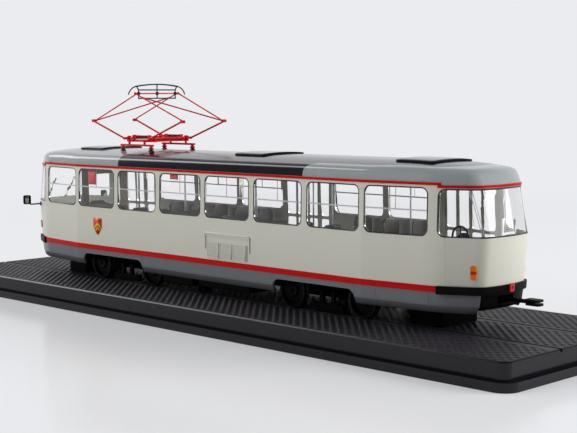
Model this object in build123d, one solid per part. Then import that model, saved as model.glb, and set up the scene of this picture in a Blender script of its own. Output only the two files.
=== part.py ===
from build123d import *

import math
import os

# Display model of a four-axle tram, 1:43, screwed to its black plinth. Millimetres.
# X points forwards, Y to the tram's left and Z up; the origin is under the middle of the plinth.
# Heights are written above the rail head, and RAIL_Z lifts every piece onto the plinth.

# Plinth: a closed black block on a ledge that carries a clear cover
PLINTH_LENGTH = 403.0
PLINTH_WIDTH = 113.0
LEDGE = 3.0
LEDGE_HEIGHT = 3.8
BLOCK_HEIGHT = 7.5
LEDGE_CORNER_R = 7.0
BLOCK_CORNER_R = 4.0
TOP_CHAMFER = 0.6
SHADOW_GROOVE = 0.6
RAIL_Z = LEDGE_HEIGHT + BLOCK_HEIGHT

# Track moulded into the plinth
GAUGE = 35.4
FLANGEWAY = 1.5
FLANGEWAY_DEPTH = 1.3

# Screws that hold the tram down, through two pedestals between the rails
PEDESTAL_X = 127.0
PEDESTAL_LENGTH = 18.0
PEDESTAL_WIDTH = 27.0
SCREW_R = 1.5
SCREW_HEAD_R = 2.8
SCREW_HEAD_THICK = 1.5
SCREW_SLOT = (0.8, 0.7)
COUNTERBORE_PLAY = 0.3
COUNTERBORE_DEPTH = 2.0

# Body envelope: height above rail, half width, half length
ENVELOPE = (
    (8.5, 27.2, 158.6),
    (11.4, 28.6, 160.0),
    (17.2, 29.07, 161.0),
    (40.4, 29.07, 162.8),
    (62.9, 28.5, 158.6),
    (71.9, 27.6, 155.8),
)
WALL = 1.4
SKIRT_WALL = 1.2
GAP = 0.05
SEAT = 0.02

# Plan of both ends: a slight taper, then a corner panel, then a bowed end face
STRAIGHT_HALF = 104.65
KNEE_X = 142.0
KNEE_IN = 4.4
KNEE_R = 30.0
END_HALF = 16.0
END_BOW = 2.4
CORNER_R = 8.0

# Heights above rail
SKIRT_Z = 8.5
SOLE_Z = 17.2
BELT_TOP_Z = 19.8
SILL_Z = 40.4
WINDOW_TOP_Z = 60.5
HEADER_Z = 60.0
EAVES_Z = 62.9
ROOF_Z = 70.93
ROOF_CAMBER_R = 190.0
ROOF_EDGE_R = 4.5
CEILING_Z = 69.2

# Side windows and doors: eight bays a side, the end ones in the tapered part
BAY_PITCH = 34.88
WINDOW_WIDTH = 31.4
WINDOW_R = 3.0
END_BAY = (106.0, 137.8)
SPLIT_X = 142.4
DOOR_BAYS = (0, 4, 7)
DOOR_FOOT_Z = 9.2
DOOR_LEAVES = 4
GLASS_INSET = 0.3
GLASS_THICK = 0.8
BAR_Z = 51.0
BAR_HEIGHT = 0.6

# Trim along the body
TRIM_PROUD = 0.4
BUMPER_PROUD = 1.2
BUMPER_X = 142.5
BUMPER_Z = (16.5, 19.9)
GUTTER_SIDE_Z = (61.7, 62.85)
GUTTER_END_Z = (60.6, GUTTER_SIDE_Z[0] - SEAT)
GUTTER_LAP = 1.4
GUTTER_STEP_X = 143.6

# Running gear
BOGIE_X = 74.4
WHEELBASE = 44.2
TREAD_R = 8.14
FLANGE_R = 8.95
TREAD_WIDTH = 2.0
FLANGE_THICK = 0.7
FLANGE_SIDE_GAP = 0.3
RAIL_GAP = 0.2
AXLE_R = 1.1
AXLE_FIT = 0.05
AXLE_Z = TREAD_R + RAIL_GAP
ARCH_LENGTH = 51.3
ARCH_TOP_Z = 14.6
ARCH_R = 4.0
BEAM_Y = 9.5
BEAM_WIDTH = 2.4

# Floors
PLATE_Z = 17.5
PLATE_THICK = 1.5
FLOOR_THICK = 1.9
FLOOR_Z = PLATE_Z + PLATE_THICK + FLOOR_THICK

# Couplers
COUPLER_PIVOT_X = 148.0
COUPLER_Z = 13.6
COUPLER_BAR_R = 0.9
COUPLER_EYE_R = 2.4
COUPLER_PIN_R = 1.0
COUPLER_HEAD_X = (170.8, 177.6)
COUPLER_BORE_X = 174.4
COUPLER_BORE_R = 0.6

# Pantograph: centre of its base and the sizes of its two folding frames
PANTO_X = 69.5
PANTO_Y = 14.3
SHAFT_HALF = 10.8
SHAFT_Z = 77.0
KNEE_HALF = 38.0
KNEE_Z = 86.3
KNEE_Y = 14.9
HEAD_Z = 101.0
LOWER_TUBE_R = 0.5
UPPER_TUBE_R = 0.36
SHAFT_R = 0.7
PIN_R = 0.35
PIN_FIT = 0.06
HEAD_POST_Y = 12.6
HEAD_LOW_Z = 98.4
HEAD_MID_Z = 102.9
HEAD_BAR_R = 0.34
HEAD_EYE_R = 0.9
BOW_Y = 14.1
BOW_Z = 104.8
BOW_RISE = 1.1
BOW_SECTION = (1.8, 0.7)
HORN_BEND = (17.3, 103.5)
HORN_TIP = (19.4, 100.4)

nodes = {}


def node(name, shape):
    """Keeps a finished piece under its name, lifted from the rail head onto the plinth."""
    nodes[name] = Pos(0, 0, RAIL_Z) * shape


def joined(shapes):
    """Adds a list of pieces together."""
    total = shapes[0]
    for shape in shapes[1:]:
        total = total + shape
    return total


def apart(shapes):
    """Several pieces that do not touch, kept as one group."""
    solids = []
    for shape in shapes:
        solids.extend(shape.solids())
    return Compound(solids)


def box(x, y, z):
    """A block from three pairs of limits."""
    centre = ((x[0] + x[1]) / 2, (y[0] + y[1]) / 2, (z[0] + z[1]) / 2)
    return Pos(*centre) * Box(x[1] - x[0], y[1] - y[0], z[1] - z[0])


def rod(start, end, radius):
    """A round bar from one point to another."""
    a, b = Vector(*start), Vector(*end)
    plane = Plane(origin=a, z_dir=b - a)
    return plane * Cylinder(radius, (b - a).length, align=(Align.CENTER, Align.CENTER, Align.MIN))


def cross_rod(x, y, z, radius):
    """A round bar across the tram between two limits of y."""
    return rod((x, y[0], z), (x, y[1], z), radius)


def both_sides(shape):
    """A piece and its mirror image on the other side of the tram."""
    return [shape, mirror(shape, Plane.XZ)]


def slab(length, width, radius, z0, z1):
    """A plate with round vertical corners."""
    return extrude(Plane.XY.offset(z0) * RectangleRounded(length, width, radius), z1 - z0)


def sizes_at(z):
    """Half width and half length of the envelope at one height, between the table's rows."""
    pairs = list(zip(ENVELOPE, ENVELOPE[1:]))
    low, high = next((pair for pair in pairs if z <= pair[1][0]), pairs[-1])
    t = (z - low[0]) / (high[0] - low[0])
    return low[1] + t * (high[1] - low[1]), low[2] + t * (high[2] - low[2])


def outward(a, b):
    """Unit vector square to the line from a to b, on its left."""
    along = (b - a).normalized()
    return Vector(-along.Y, along.X)


def plan(z, inset):
    """Plan outline at one height, from one quarter: straight side, taper, corner panel, bowed end."""
    half_width, half_length = sizes_at(z)
    start = Vector(STRAIGHT_HALF, half_width)
    knee = Vector(KNEE_X, half_width - KNEE_IN)
    corner = Vector(half_length - END_BOW, END_HALF)
    bow_r = (END_HALF**2 + END_BOW**2) / (2 * END_BOW)
    bow_centre = Vector(half_length - bow_r, 0)
    normals = [Vector(0, 1), outward(start, knee), outward(knee, corner), (corner - bow_centre).normalized()]
    moved = []
    for point, n, m in zip((start, knee, corner), normals, normals[1:]):
        moved.append(point - (n + m) * (inset / (1 + n.dot(m))))
    quarter = [(point.X, point.Y) for point in moved]
    left = quarter[::-1] + [(-x, y) for x, y in quarter]
    right = [(-x, -y) for x, y in left]
    nose = half_length - inset
    with BuildSketch(Plane.XY.offset(z)) as sketch:
        with BuildLine():
            Polyline(*left)
            ThreePointArc(left[-1], (-nose, 0), right[0])
            Polyline(*right)
            ThreePointArc(right[-1], (nose, 0), left[0])
        make_face()
        knee_x = moved[1].X
        fillet([v for v in sketch.vertices() if abs(abs(v.X) - knee_x) < 0.01], KNEE_R - inset)
        corner_x = moved[2].X
        fillet([v for v in sketch.vertices() if abs(abs(v.X) - corner_x) < 0.01], max(CORNER_R - inset, 0.5))
    return sketch.sketch


def envelope(inset, z0, z1):
    """The body's outer form between two heights, moved inwards by inset."""
    levels = [z0] + [row[0] for row in ENVELOPE if z0 < row[0] < z1] + [z1]
    return loft([plan(z, inset) for z in levels], ruled=True)


def skin(outer, inner, z0, z1):
    """A wall between two insets of the envelope."""
    return envelope(outer, z0, z1) - envelope(inner, z0, z1)


def side_prism(x, z, side, radius):
    """A round-cornered prism outwards through one side of the body."""
    middle = ((x[0] + x[1]) / 2, 0, (z[0] + z[1]) / 2)
    plane = Plane(origin=middle, x_dir=(1, 0, 0), z_dir=(0, side, 0))
    return extrude(plane * RectangleRounded(x[1] - x[0], z[1] - z[0], radius), 60)


def end_prism(y, z, end, radius):
    """A round-cornered prism outwards through one end of the body."""
    middle = (end * STRAIGHT_HALF, (y[0] + y[1]) / 2, (z[0] + z[1]) / 2)
    plane = Plane(origin=middle, x_dir=(0, 1, 0), z_dir=(end, 0, 0))
    return extrude(plane * RectangleRounded(y[1] - y[0], z[1] - z[0], radius), 100)


def shrunk(limits, amount):
    """Two limits moved towards each other."""
    return (limits[0] + amount, limits[1] - amount)


# Bays of a side, from the front: x limits
bays = [END_BAY]
for index in range(6):
    middle = BAY_PITCH * (2.5 - index)
    bays.append((middle - WINDOW_WIDTH / 2, middle + WINDOW_WIDTH / 2))
bays.append((-END_BAY[1], -END_BAY[0]))
window_bays = [index for index in range(8) if index not in DOOR_BAYS]
window_z = (SILL_Z, WINDOW_TOP_Z)
door_z = (DOOR_FOOT_Z, WINDOW_TOP_Z)
BIG = 400.0

# Plinth
block_length = PLINTH_LENGTH - 2 * LEDGE
block_width = PLINTH_WIDTH - 2 * LEDGE
block_z = -BLOCK_HEIGHT
plinth = slab(block_length, block_width, BLOCK_CORNER_R, block_z, 0)
plinth = chamfer(plinth.faces().sort_by(Axis.Z)[-1].edges(), TOP_CHAMFER)
plinth = plinth + slab(PLINTH_LENGTH, PLINTH_WIDTH, LEDGE_CORNER_R, -RAIL_Z, block_z)
trench_z = (block_z - SHADOW_GROOVE, block_z)
trench = slab(block_length + 2 * SHADOW_GROOVE, block_width + 2 * SHADOW_GROOVE, BLOCK_CORNER_R, *trench_z)
plinth = plinth - (trench - slab(block_length, block_width, BLOCK_CORNER_R, *trench_z))
groove_y = (GAUGE / 2 - FLANGEWAY, GAUGE / 2)
for groove in both_sides(box((-BIG, BIG), groove_y, (-FLANGEWAY_DEPTH, 5))):
    plinth = plinth - groove
head_z = -RAIL_Z + COUNTERBORE_DEPTH
for end in (1, -1):
    x = end * PEDESTAL_X
    plinth = plinth - rod((x, 0, -RAIL_Z), (x, 0, head_z), SCREW_HEAD_R + COUNTERBORE_PLAY)
    plinth = plinth - rod((x, 0, -RAIL_Z), (x, 0, 1), SCREW_R + GAP)
node("plinth", plinth)

# Pedestals between the rails and the two screws through them
pedestals, screws = [], []
for end in (1, -1):
    x = end * PEDESTAL_X
    pedestal = Pos(x, 0, 0) * slab(PEDESTAL_LENGTH, PEDESTAL_WIDTH, 2.0, 0, PLATE_Z)
    pedestals.append(pedestal - rod((x, 0, -1), (x, 0, PLATE_Z + 1), SCREW_R + GAP))
    screw = rod((x, 0, head_z), (x, 0, PLATE_Z + PLATE_THICK), SCREW_R)
    screw = screw + rod((x, 0, head_z - SCREW_HEAD_THICK), (x, 0, head_z), SCREW_HEAD_R)
    slot_z = head_z - SCREW_HEAD_THICK
    slot_x = (x - SCREW_SLOT[0] / 2, x + SCREW_SLOT[0] / 2)
    screws.append(screw - box(slot_x, (-SCREW_HEAD_R, SCREW_HEAD_R), (slot_z, slot_z + SCREW_SLOT[1])))
node("pedestals", apart(pedestals))
node("plinth_screws", apart(screws))

# Underframe plate and the boxes hung under it: x limits, y limits, bottom
underframe = envelope(WALL + GAP, PLATE_Z, PLATE_Z + PLATE_THICK)
for end in (1, -1):
    underframe = underframe - rod((end * PEDESTAL_X, 0, 10), (end * PEDESTAL_X, 0, 30), SCREW_R + GAP)
node("underframe", underframe)
BOXES = (
    ((14.0, 37.0), (9.0, 24.0), 3.6),
    ((-28.0, 9.0), (10.0, 24.0), 4.4),
    ((12.0, 38.0), (-24.0, -10.0), 4.0),
    ((-38.0, 6.0), (-24.0, -9.0), 3.2),
    ((-24.0, 24.0), (-7.0, 7.0), 7.0),
)
boxes = []
for x, y, bottom in BOXES:
    body = box(x, y, (bottom, PLATE_Z))
    boxes.append(fillet(body.faces().sort_by(Axis.Z)[0].edges(), 1.0))
node("equipment_boxes", apart(boxes))

# Skirts: panels between the wheel arches, a strip over each arch and corner panels
SEAMS = (-138.5, -112.0, 112.0, 138.5)
skirt = skin(0, SKIRT_WALL, SKIRT_Z, SOLE_Z - SEAT)
for end in (1, -1):
    arch_x = (end * BOGIE_X - ARCH_LENGTH / 2, end * BOGIE_X + ARCH_LENGTH / 2)
    for side in (1, -1):
        skirt = skirt - side_prism(arch_x, (0, ARCH_TOP_Z), side, ARCH_R)
    skirt = skirt - box(sorted((end * 120, end * BIG)), (-15.0, 15.0), (0, SOLE_Z))
    for x in arch_x:
        skirt = skirt - box((x - GAP, x + GAP), (-60, 60), (0, SOLE_Z))
for seam in SEAMS:
    skirt = skirt - box((seam - GAP, seam + GAP), (-60, 60), (0, 30))
for bay in DOOR_BAYS:
    skirt = skirt - box(bays[bay], (-60, 0), (0, 30))
node("skirt_left", apart([s for s in skirt.solids() if s.center().Y > 0]))
node("skirt_right", apart([s for s in skirt.solids() if s.center().Y < 0]))

# Side walls, with windows on the left, windows and three doorways on the right
wall = skin(0, WALL, SOLE_Z, EAVES_Z)
wall_half = SPLIT_X + WINDOW_R
screen_z = (SILL_Z, HEADER_Z)
ends = {"front": (SPLIT_X, SPLIT_X + 60), "rear": (-SPLIT_X - 60, -SPLIT_X)}
for limits in ends.values():
    for side in (1, -1):
        wall = wall - side_prism(limits, screen_z, side, WINDOW_R)
wall_left = wall & box((-wall_half, wall_half), (0, 60), (0, 100))
for bay in bays:
    wall_left = wall_left - side_prism(bay, window_z, 1, WINDOW_R)
node("wall_left", wall_left)
wall_right = wall & box((-wall_half, wall_half), (-60, 0), (0, 100))
for index, bay in enumerate(bays):
    limits = door_z if index in DOOR_BAYS else window_z
    wall_right = wall_right - side_prism(bay, limits, -1, WINDOW_R)
node("wall_right", wall_right)

# End masks below the windscreens
between = box((-wall_half - GAP, wall_half + GAP), (-60, 60), (0, 100))
mask = skin(0, WALL, SOLE_Z, SILL_Z) - between
node("end_mask_front", mask & box((0, BIG), (-60, 60), (0, 100)))
node("end_mask_rear", mask & box((-BIG, 0), (-60, 60), (0, 100)))

# Roof: cambered, with a round edge, reaching down over both windscreens
cove = loft([plan(EAVES_Z, 0), plan(ENVELOPE[-1][0], 0)], ruled=True)
camber_axis = Pos(0, 0, ROOF_Z - ROOF_CAMBER_R) * Rot(0, 90, 0)
cove = cove & (camber_axis * Cylinder(ROOF_CAMBER_R, BIG))
rim = [edge for edge in cove.edges() if edge.center().Z > EAVES_Z + 4]
cove = fillet(rim, ROOF_EDGE_R)
ceiling = loft(
    [
        plan(EAVES_Z, WALL),
        Pos(0, 0, CEILING_Z - 2.4 - EAVES_Z) * plan(EAVES_Z, 4.0),
        Pos(0, 0, CEILING_Z - EAVES_Z) * plan(EAVES_Z, 9.0),
    ],
    ruled=True,
)
roof = (cove - ceiling) + (skin(0, WALL, HEADER_Z, EAVES_Z) - between)
node("roof", roof)

# Roof hatches: x limits
HATCHES = ((94.8, 114.9), (-35.3, -13.1), (-138.0, -115.0))
plate = camber_axis * (Cylinder(ROOF_CAMBER_R + 0.9, BIG) - Cylinder(ROOF_CAMBER_R + SEAT, BIG))
hatches = []
for x0, x1 in HATCHES:
    outline = Pos((x0 + x1) / 2, 0, 60) * RectangleRounded(x1 - x0, 38.0, 2.0)
    hatches.append(plate & extrude(outline, 20))
node("roof_hatches", apart(hatches))

# Windscreens, wrapped round the corners
glass = skin(GLASS_INSET, GLASS_INSET + GLASS_THICK, *shrunk(screen_z, GAP))
for name, limits in ends.items():
    opening = (shrunk(limits, GAP), shrunk(screen_z, GAP))
    halves = [side_prism(*opening, side, WINDOW_R - GAP) for side in (1, -1)]
    node("windscreen_" + name, glass & joined(halves))

# Side glazing with its cross bars, and the doors with their own panes
pane = skin(GLASS_INSET, GLASS_INSET + GLASS_THICK, 12.0, EAVES_Z)
bar_skin = skin(SEAT, GLASS_INSET - SEAT, BAR_Z - BAR_HEIGHT / 2, BAR_Z + BAR_HEIGHT / 2)
panes = {1: [], -1: []}
bars = []
for side, indexes in ((1, range(8)), (-1, window_bays)):
    for index in indexes:
        prism = side_prism(shrunk(bays[index], GAP), shrunk(window_z, GAP), side, WINDOW_R - GAP)
        panes[side].append(pane & prism)
        bars.append(bar_skin & prism)
node("window_bars", apart(bars))
leaf_skin = skin(0.2, 1.2, DOOR_FOOT_Z, WINDOW_TOP_Z - GAP)
LEAF_WINDOWS = ((22.5, 37.0), (38.4, 57.5))
for name, index in zip(("front", "middle", "rear"), DOOR_BAYS):
    x0, x1 = shrunk(bays[index], GAP)
    leaf = (x1 - x0) / DOOR_LEAVES
    door = leaf_skin & side_prism((x0, x1), shrunk(door_z, GAP), -1, WINDOW_R - GAP)
    for number in range(DOOR_LEAVES):
        leaf_x = (x0 + leaf * number + 1.0, x0 + leaf * (number + 1) - 1.0)
        for leaf_z in LEAF_WINDOWS:
            door = door - side_prism(leaf_x, leaf_z, -1, 0.9)
            panes[-1].append(pane & side_prism(shrunk(leaf_x, GAP), shrunk(leaf_z, GAP), -1, 0.85))
    node("door_" + name, door)
node("glazing_left", apart(panes[1]))
node("glazing_right", apart(panes[-1]))

# Belt moulding and gutter moulding
belt = skin(-TRIM_PROUD, -SEAT, SOLE_Z, BELT_TOP_Z) & box((-BUMPER_X, BUMPER_X), (-60, 60), (0, 100))
for index in DOOR_BAYS:
    belt = belt - box(bays[index], (-60, 0), (0, 100))
node("belt_rail", belt)
gutter_x = (-GUTTER_STEP_X, GUTTER_STEP_X)
gutter = skin(-TRIM_PROUD, -SEAT, *GUTTER_SIDE_Z) & box(gutter_x, (-60, 60), (0, 100))
gutter_end = skin(-TRIM_PROUD, -SEAT, *GUTTER_END_Z)
gutter_end = gutter_end - box(shrunk(gutter_x, GUTTER_LAP), (-60, 60), (0, 100))
node("gutter_rail", apart([gutter, gutter_end]))

# Bumpers and their sockets
bumper = skin(-BUMPER_PROUD, -SEAT, *BUMPER_Z)
node("bumper_front", bumper & box((BUMPER_X + GAP, BIG), (-60, 60), (0, 100)))
node("bumper_rear", bumper & box((-BIG, -BUMPER_X - GAP), (-60, 60), (0, 100)))
socket = skin(-BUMPER_PROUD - 1.0, -BUMPER_PROUD - SEAT, BUMPER_Z[0] + 0.3, BUMPER_Z[1] + 0.6)
socket_z = (BUMPER_Z[0] + 0.4, BUMPER_Z[1] + 0.5)
sockets = [socket & end_prism((-1.5, 1.5), socket_z, end, 0.4) for end in (1, -1)]
node("jumper_sockets", apart(sockets))

# Lamps that stand proud: two round ones on the front face, long ones on the corner panels
LAMP_PROUD = 0.6
HEADLAMP_Y = (8.4, 13.2)
HEADLAMP_Z = (24.2, 29.0)
TURN_LAMP_X = (155.3, 157.3)
TURN_LAMP_Z = (24.0, 28.4)
TAIL_LAMP_X = (-157.4, -155.4)
TAIL_LAMP_Z = (22.8, 28.9)
ROUND_END = 0.98
lamp_skin = skin(-LAMP_PROUD, -SEAT, 20.0, 36.0)
lamp_prisms = {
    "headlamps": end_prism(HEADLAMP_Y, HEADLAMP_Z, 1, 2.4 * ROUND_END),
    "turn_lamps": side_prism(TURN_LAMP_X, TURN_LAMP_Z, 1, ROUND_END),
    "tail_lamps": side_prism(TAIL_LAMP_X, TAIL_LAMP_Z, 1, ROUND_END),
}
for name, prism in lamp_prisms.items():
    node(name, apart(both_sides(lamp_skin & prism)))

# Louvre panel on the left wall, under its hood
LOUVRE_X = (-32.1, -3.7)
LOUVRE_Z = (20.9, 28.6)
HOOD_X = (-34.1, -1.8)
HOOD_Z = (25.0, 32.3)
wall_y = ENVELOPE[2][1] + SEAT
field = (LOUVRE_X[1] - LOUVRE_X[0] - 1.2) / 3
louvre_parts = [box(LOUVRE_X, (wall_y, wall_y + 0.45), LOUVRE_Z)]
for number in range(3):
    x0 = LOUVRE_X[0] + 0.4 + number * (field + 0.2)
    for step in range(7):
        z0 = LOUVRE_Z[0] + 0.6 + step
        louvre_parts[0] = louvre_parts[0] - box((x0, x0 + field), (wall_y + 0.2, 60), (z0, z0 + 0.45))
hood = box(HOOD_X, (wall_y, wall_y + 0.5), HOOD_Z)
hood = fillet(hood.edges().filter_by(Axis.Y).sort_by(Axis.Z)[-2:], 1.5)
hood = hood - box(shrunk(HOOD_X, 0.8), (0, 60), (0, HOOD_Z[1] - 0.8))
node("louvre_panel", apart(louvre_parts + [hood]))

# Saloon: floor, seats, poles, partition, desk and the rear end's fittings
node("saloon_floor", envelope(WALL + GAP, PLATE_Z + PLATE_THICK, FLOOR_Z))
SEAT_PITCH = 17.44
SEAT_WIDTH = 10.5
SEAT_Y = 20.0
SEAT_PAN_LENGTH = 9.5
SEAT_PAN_THICK = 1.8
SEAT_PAN_Z = 31.0
SEAT_BACK_THICK = 1.6
SEAT_BACK_R = 2.5
SEAT_TOP_Z = 41.0
SEAT_FOOT = 4.0
FIRST_SEAT_X = -96.0
LEFT_SEATS = 11
RIGHT_SEATS_X = (-96.0, -78.5, -61.0, 8.0, 25.5, 43.0, 60.5, 78.0)
DRIVER_SEAT = (118.0, 6.0)
pan_z = (SEAT_PAN_Z - SEAT_PAN_THICK, SEAT_PAN_Z)


def seat(x, y):
    """One seat on its foot, facing forwards; x is the back of the cushion."""
    across = (y - SEAT_WIDTH / 2, y + SEAT_WIDTH / 2)
    pan = box((x, x + SEAT_PAN_LENGTH), across, pan_z)
    middle = x + SEAT_PAN_LENGTH / 2
    foot_x = (middle - SEAT_FOOT / 2, middle + SEAT_FOOT / 2)
    foot = box(foot_x, (y - SEAT_FOOT / 2, y + SEAT_FOOT / 2), (FLOOR_Z, pan_z[0]))
    back = box((x - SEAT_BACK_THICK, x), across, (pan_z[0], SEAT_TOP_Z))
    top = back.edges().filter_by(Axis.X).sort_by(Axis.Z)[-2:]
    return pan + foot + fillet(top, SEAT_BACK_R)


seats = [seat(FIRST_SEAT_X + SEAT_PITCH * number, SEAT_Y) for number in range(LEFT_SEATS)]
seats = seats + [seat(x, -SEAT_Y) for x in RIGHT_SEATS_X]
seats.append(seat(*DRIVER_SEAT))
node("seats", apart(seats))
POLE_R = 0.45
POLES = ((-100, -10), (-38.5, -10), (2.5, -10), (-70, 10), (-17.5, 10), (35, 10), (99, -10))
poles = [rod((x, y, FLOOR_Z), (x, y, CEILING_Z - GAP), POLE_R) for x, y in POLES]
node("grab_poles", apart(poles))
PARTITION_X = (102.6, 103.6)
PARTITION_Y = (-4.0, 26.0)
PARTITION_TOP_Z = 60.0
PARTITION_WINDOW = ((0.0, 22.0), (40.0, 57.0))
partition = box(PARTITION_X, PARTITION_Y, (FLOOR_Z, PARTITION_TOP_Z))
node("cab_partition", partition - box(PARTITION_X, *PARTITION_WINDOW))
DESK_X = 143.0
DESK_Z = (32.0, 36.5)
DESK_FOOT_X = 151.0
DESK_INSET = WALL + 0.2
desk = envelope(DESK_INSET, *DESK_Z) & box((DESK_X, BIG), (-60, 60), (0, 100))
desk = desk + (envelope(DESK_INSET, FLOOR_Z, DESK_Z[0]) & box((DESK_FOOT_X, BIG), (-60, 60), (0, 100)))
node("driver_desk", desk)
HAND_WHEEL = (-147.5, 15.0, 40.2)
HAND_WHEEL_R = 4.1
RIM_R = 0.45
SPOKE_R = 0.35
HUB_R = 0.9
HUB_Y = (-1.2, 0.6)
COLUMN_HALF = 1.2
COLUMN_Y = (-3.4, -1.0)
wheel_x, wheel_y, wheel_z = HAND_WHEEL
hand_wheel = Rot(90, 0, 0) * Torus(HAND_WHEEL_R, RIM_R) + cross_rod(0, HUB_Y, 0, HUB_R)
for turn in range(3):
    angle = math.radians(90 + 120 * turn)
    rim_point = (HAND_WHEEL_R * math.cos(angle), 0, HAND_WHEEL_R * math.sin(angle))
    hand_wheel = hand_wheel + rod((0, 0, 0), rim_point, SPOKE_R)
hand_wheel = hand_wheel + box((-COLUMN_HALF, COLUMN_HALF), COLUMN_Y, (FLOOR_Z - wheel_z, COLUMN_HALF))
node("hand_wheel", Pos(*HAND_WHEEL) * hand_wheel)
RAIL_X = (-154.4, -153.6)
RAIL_Y = (-14.6, -4.8)
RAIL_FRAME_Z = (39.6, 46.6)
RAIL_BAR = 0.8
rail_gap = box((-160, -140), shrunk(RAIL_Y, RAIL_BAR), shrunk(RAIL_FRAME_Z, RAIL_BAR))
rear_rail = box(RAIL_X, RAIL_Y, RAIL_FRAME_Z) - rail_gap
for leg_y in (RAIL_Y[0], RAIL_Y[1] - RAIL_BAR):
    rear_rail = rear_rail + box(RAIL_X, (leg_y, leg_y + RAIL_BAR), (FLOOR_Z, RAIL_FRAME_Z[0] + RAIL_BAR))
node("rear_rail", rear_rail)

# Front details: mirrors, wipers, destination box
MIRROR_FOOT = (156.6, 14.0, 37.8)
MIRROR_BEND = (156.6, 24.6, 37.8)
MIRROR_HEAD = (156.2, 27.4, 40.6)
MIRROR_SIZE = (1.4, 4.2, 5.2)
MIRROR_ARM_R = 0.4
MIRROR_PAD_R = 1.2
clear_of_wall = envelope(-SEAT, SOLE_Z, EAVES_Z)
arm = rod(MIRROR_FOOT, MIRROR_BEND, MIRROR_ARM_R) + rod(MIRROR_BEND, MIRROR_HEAD, MIRROR_ARM_R)
arm = arm + Pos(*MIRROR_BEND) * Sphere(MIRROR_ARM_R)
pad = rod(MIRROR_FOOT, MIRROR_BEND, MIRROR_PAD_R) & skin(-0.5, -SEAT, 30, 45)
mirror_shell = Box(*MIRROR_SIZE)
mirror_shell = fillet(mirror_shell.edges().filter_by(Axis.X), 0.9)
mirror_left = (arm - clear_of_wall) + pad + Pos(*MIRROR_HEAD) * Rot(0, 0, -15) * mirror_shell
node("mirror_left", mirror_left)
node("mirror_right", mirror(mirror_left, Plane.XZ))
WIPER_LENGTH = 14.0
WIPER_LEAN = 25.0
WIPER_HALF = 0.35
WIPER_PIVOTS_Y = (9.5, -3.5)
PIVOT_R = 0.8
PIVOT_Z = (SILL_Z - 2.2, SILL_Z - 0.6)
wiper_skin = skin(-0.5, -0.1, SILL_Z - 2, HEADER_Z - 2)
pivot_skin = skin(-0.7, -SEAT, SILL_Z - 3, SILL_Z)
wipers = []
for y in WIPER_PIVOTS_Y:
    blade = end_prism((-WIPER_HALF, WIPER_HALF), (0, WIPER_LENGTH), 1, WIPER_HALF - GAP)
    blade = Pos(0, y, SILL_Z - 1) * Rot(WIPER_LEAN, 0, 0) * blade
    pivot = pivot_skin & end_prism((y - PIVOT_R, y + PIVOT_R), PIVOT_Z, 1, PIVOT_R - GAP * 2)
    wipers.append((wiper_skin & blade) + pivot)
node("wipers", apart(wipers))
DEST_X = (150.0, 159.6)
DEST_HALF = 11.0
DEST_Z = (EAVES_Z + 0.3, 69.4)
DEST_R = 1.2
roof_clear = camber_axis * Cylinder(ROOF_CAMBER_R + SEAT, BIG)
dest = box(DEST_X, (-DEST_HALF, DEST_HALF), DEST_Z)
dest = fillet(dest.edges().filter_by(Axis.X), DEST_R)
node("destination_box", dest - cove)

# Bogies: inside frames with track brakes, and four wheelsets
bogies = {"front": BOGIE_X, "rear": -BOGIE_X}
flange_y = GAUGE / 2 - FLANGE_SIDE_GAP
back_y = flange_y - FLANGE_THICK
wheel_profile = Polyline(
    (AXLE_R - 0.2, back_y - 1.4),
    (2.4, back_y - 1.4),
    (2.8, back_y + 0.4),
    (TREAD_R - 1.6, back_y + 0.4),
    (TREAD_R - 1.6, back_y),
    (FLANGE_R - 0.2, back_y),
    (FLANGE_R, back_y + 0.2),
    (FLANGE_R - 0.15, flange_y - 0.05),
    (TREAD_R, flange_y + 0.1),
    (TREAD_R - 0.1, flange_y + TREAD_WIDTH),
    (TREAD_R - 1.5, flange_y + TREAD_WIDTH),
    (TREAD_R - 2.0, flange_y + 0.9),
    (3.4, flange_y + 0.9),
    (2.9, flange_y + 1.7),
    (AXLE_R - 0.2, flange_y + 1.7),
    close=True,
)
wheel_face = Plane.XY * make_face(wheel_profile)
wheel = revolve(wheel_face, Axis.Y)
wheelset = joined(both_sides(wheel)) + cross_rod(0, (-back_y, back_y), 0, AXLE_R)
number = 0
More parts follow.
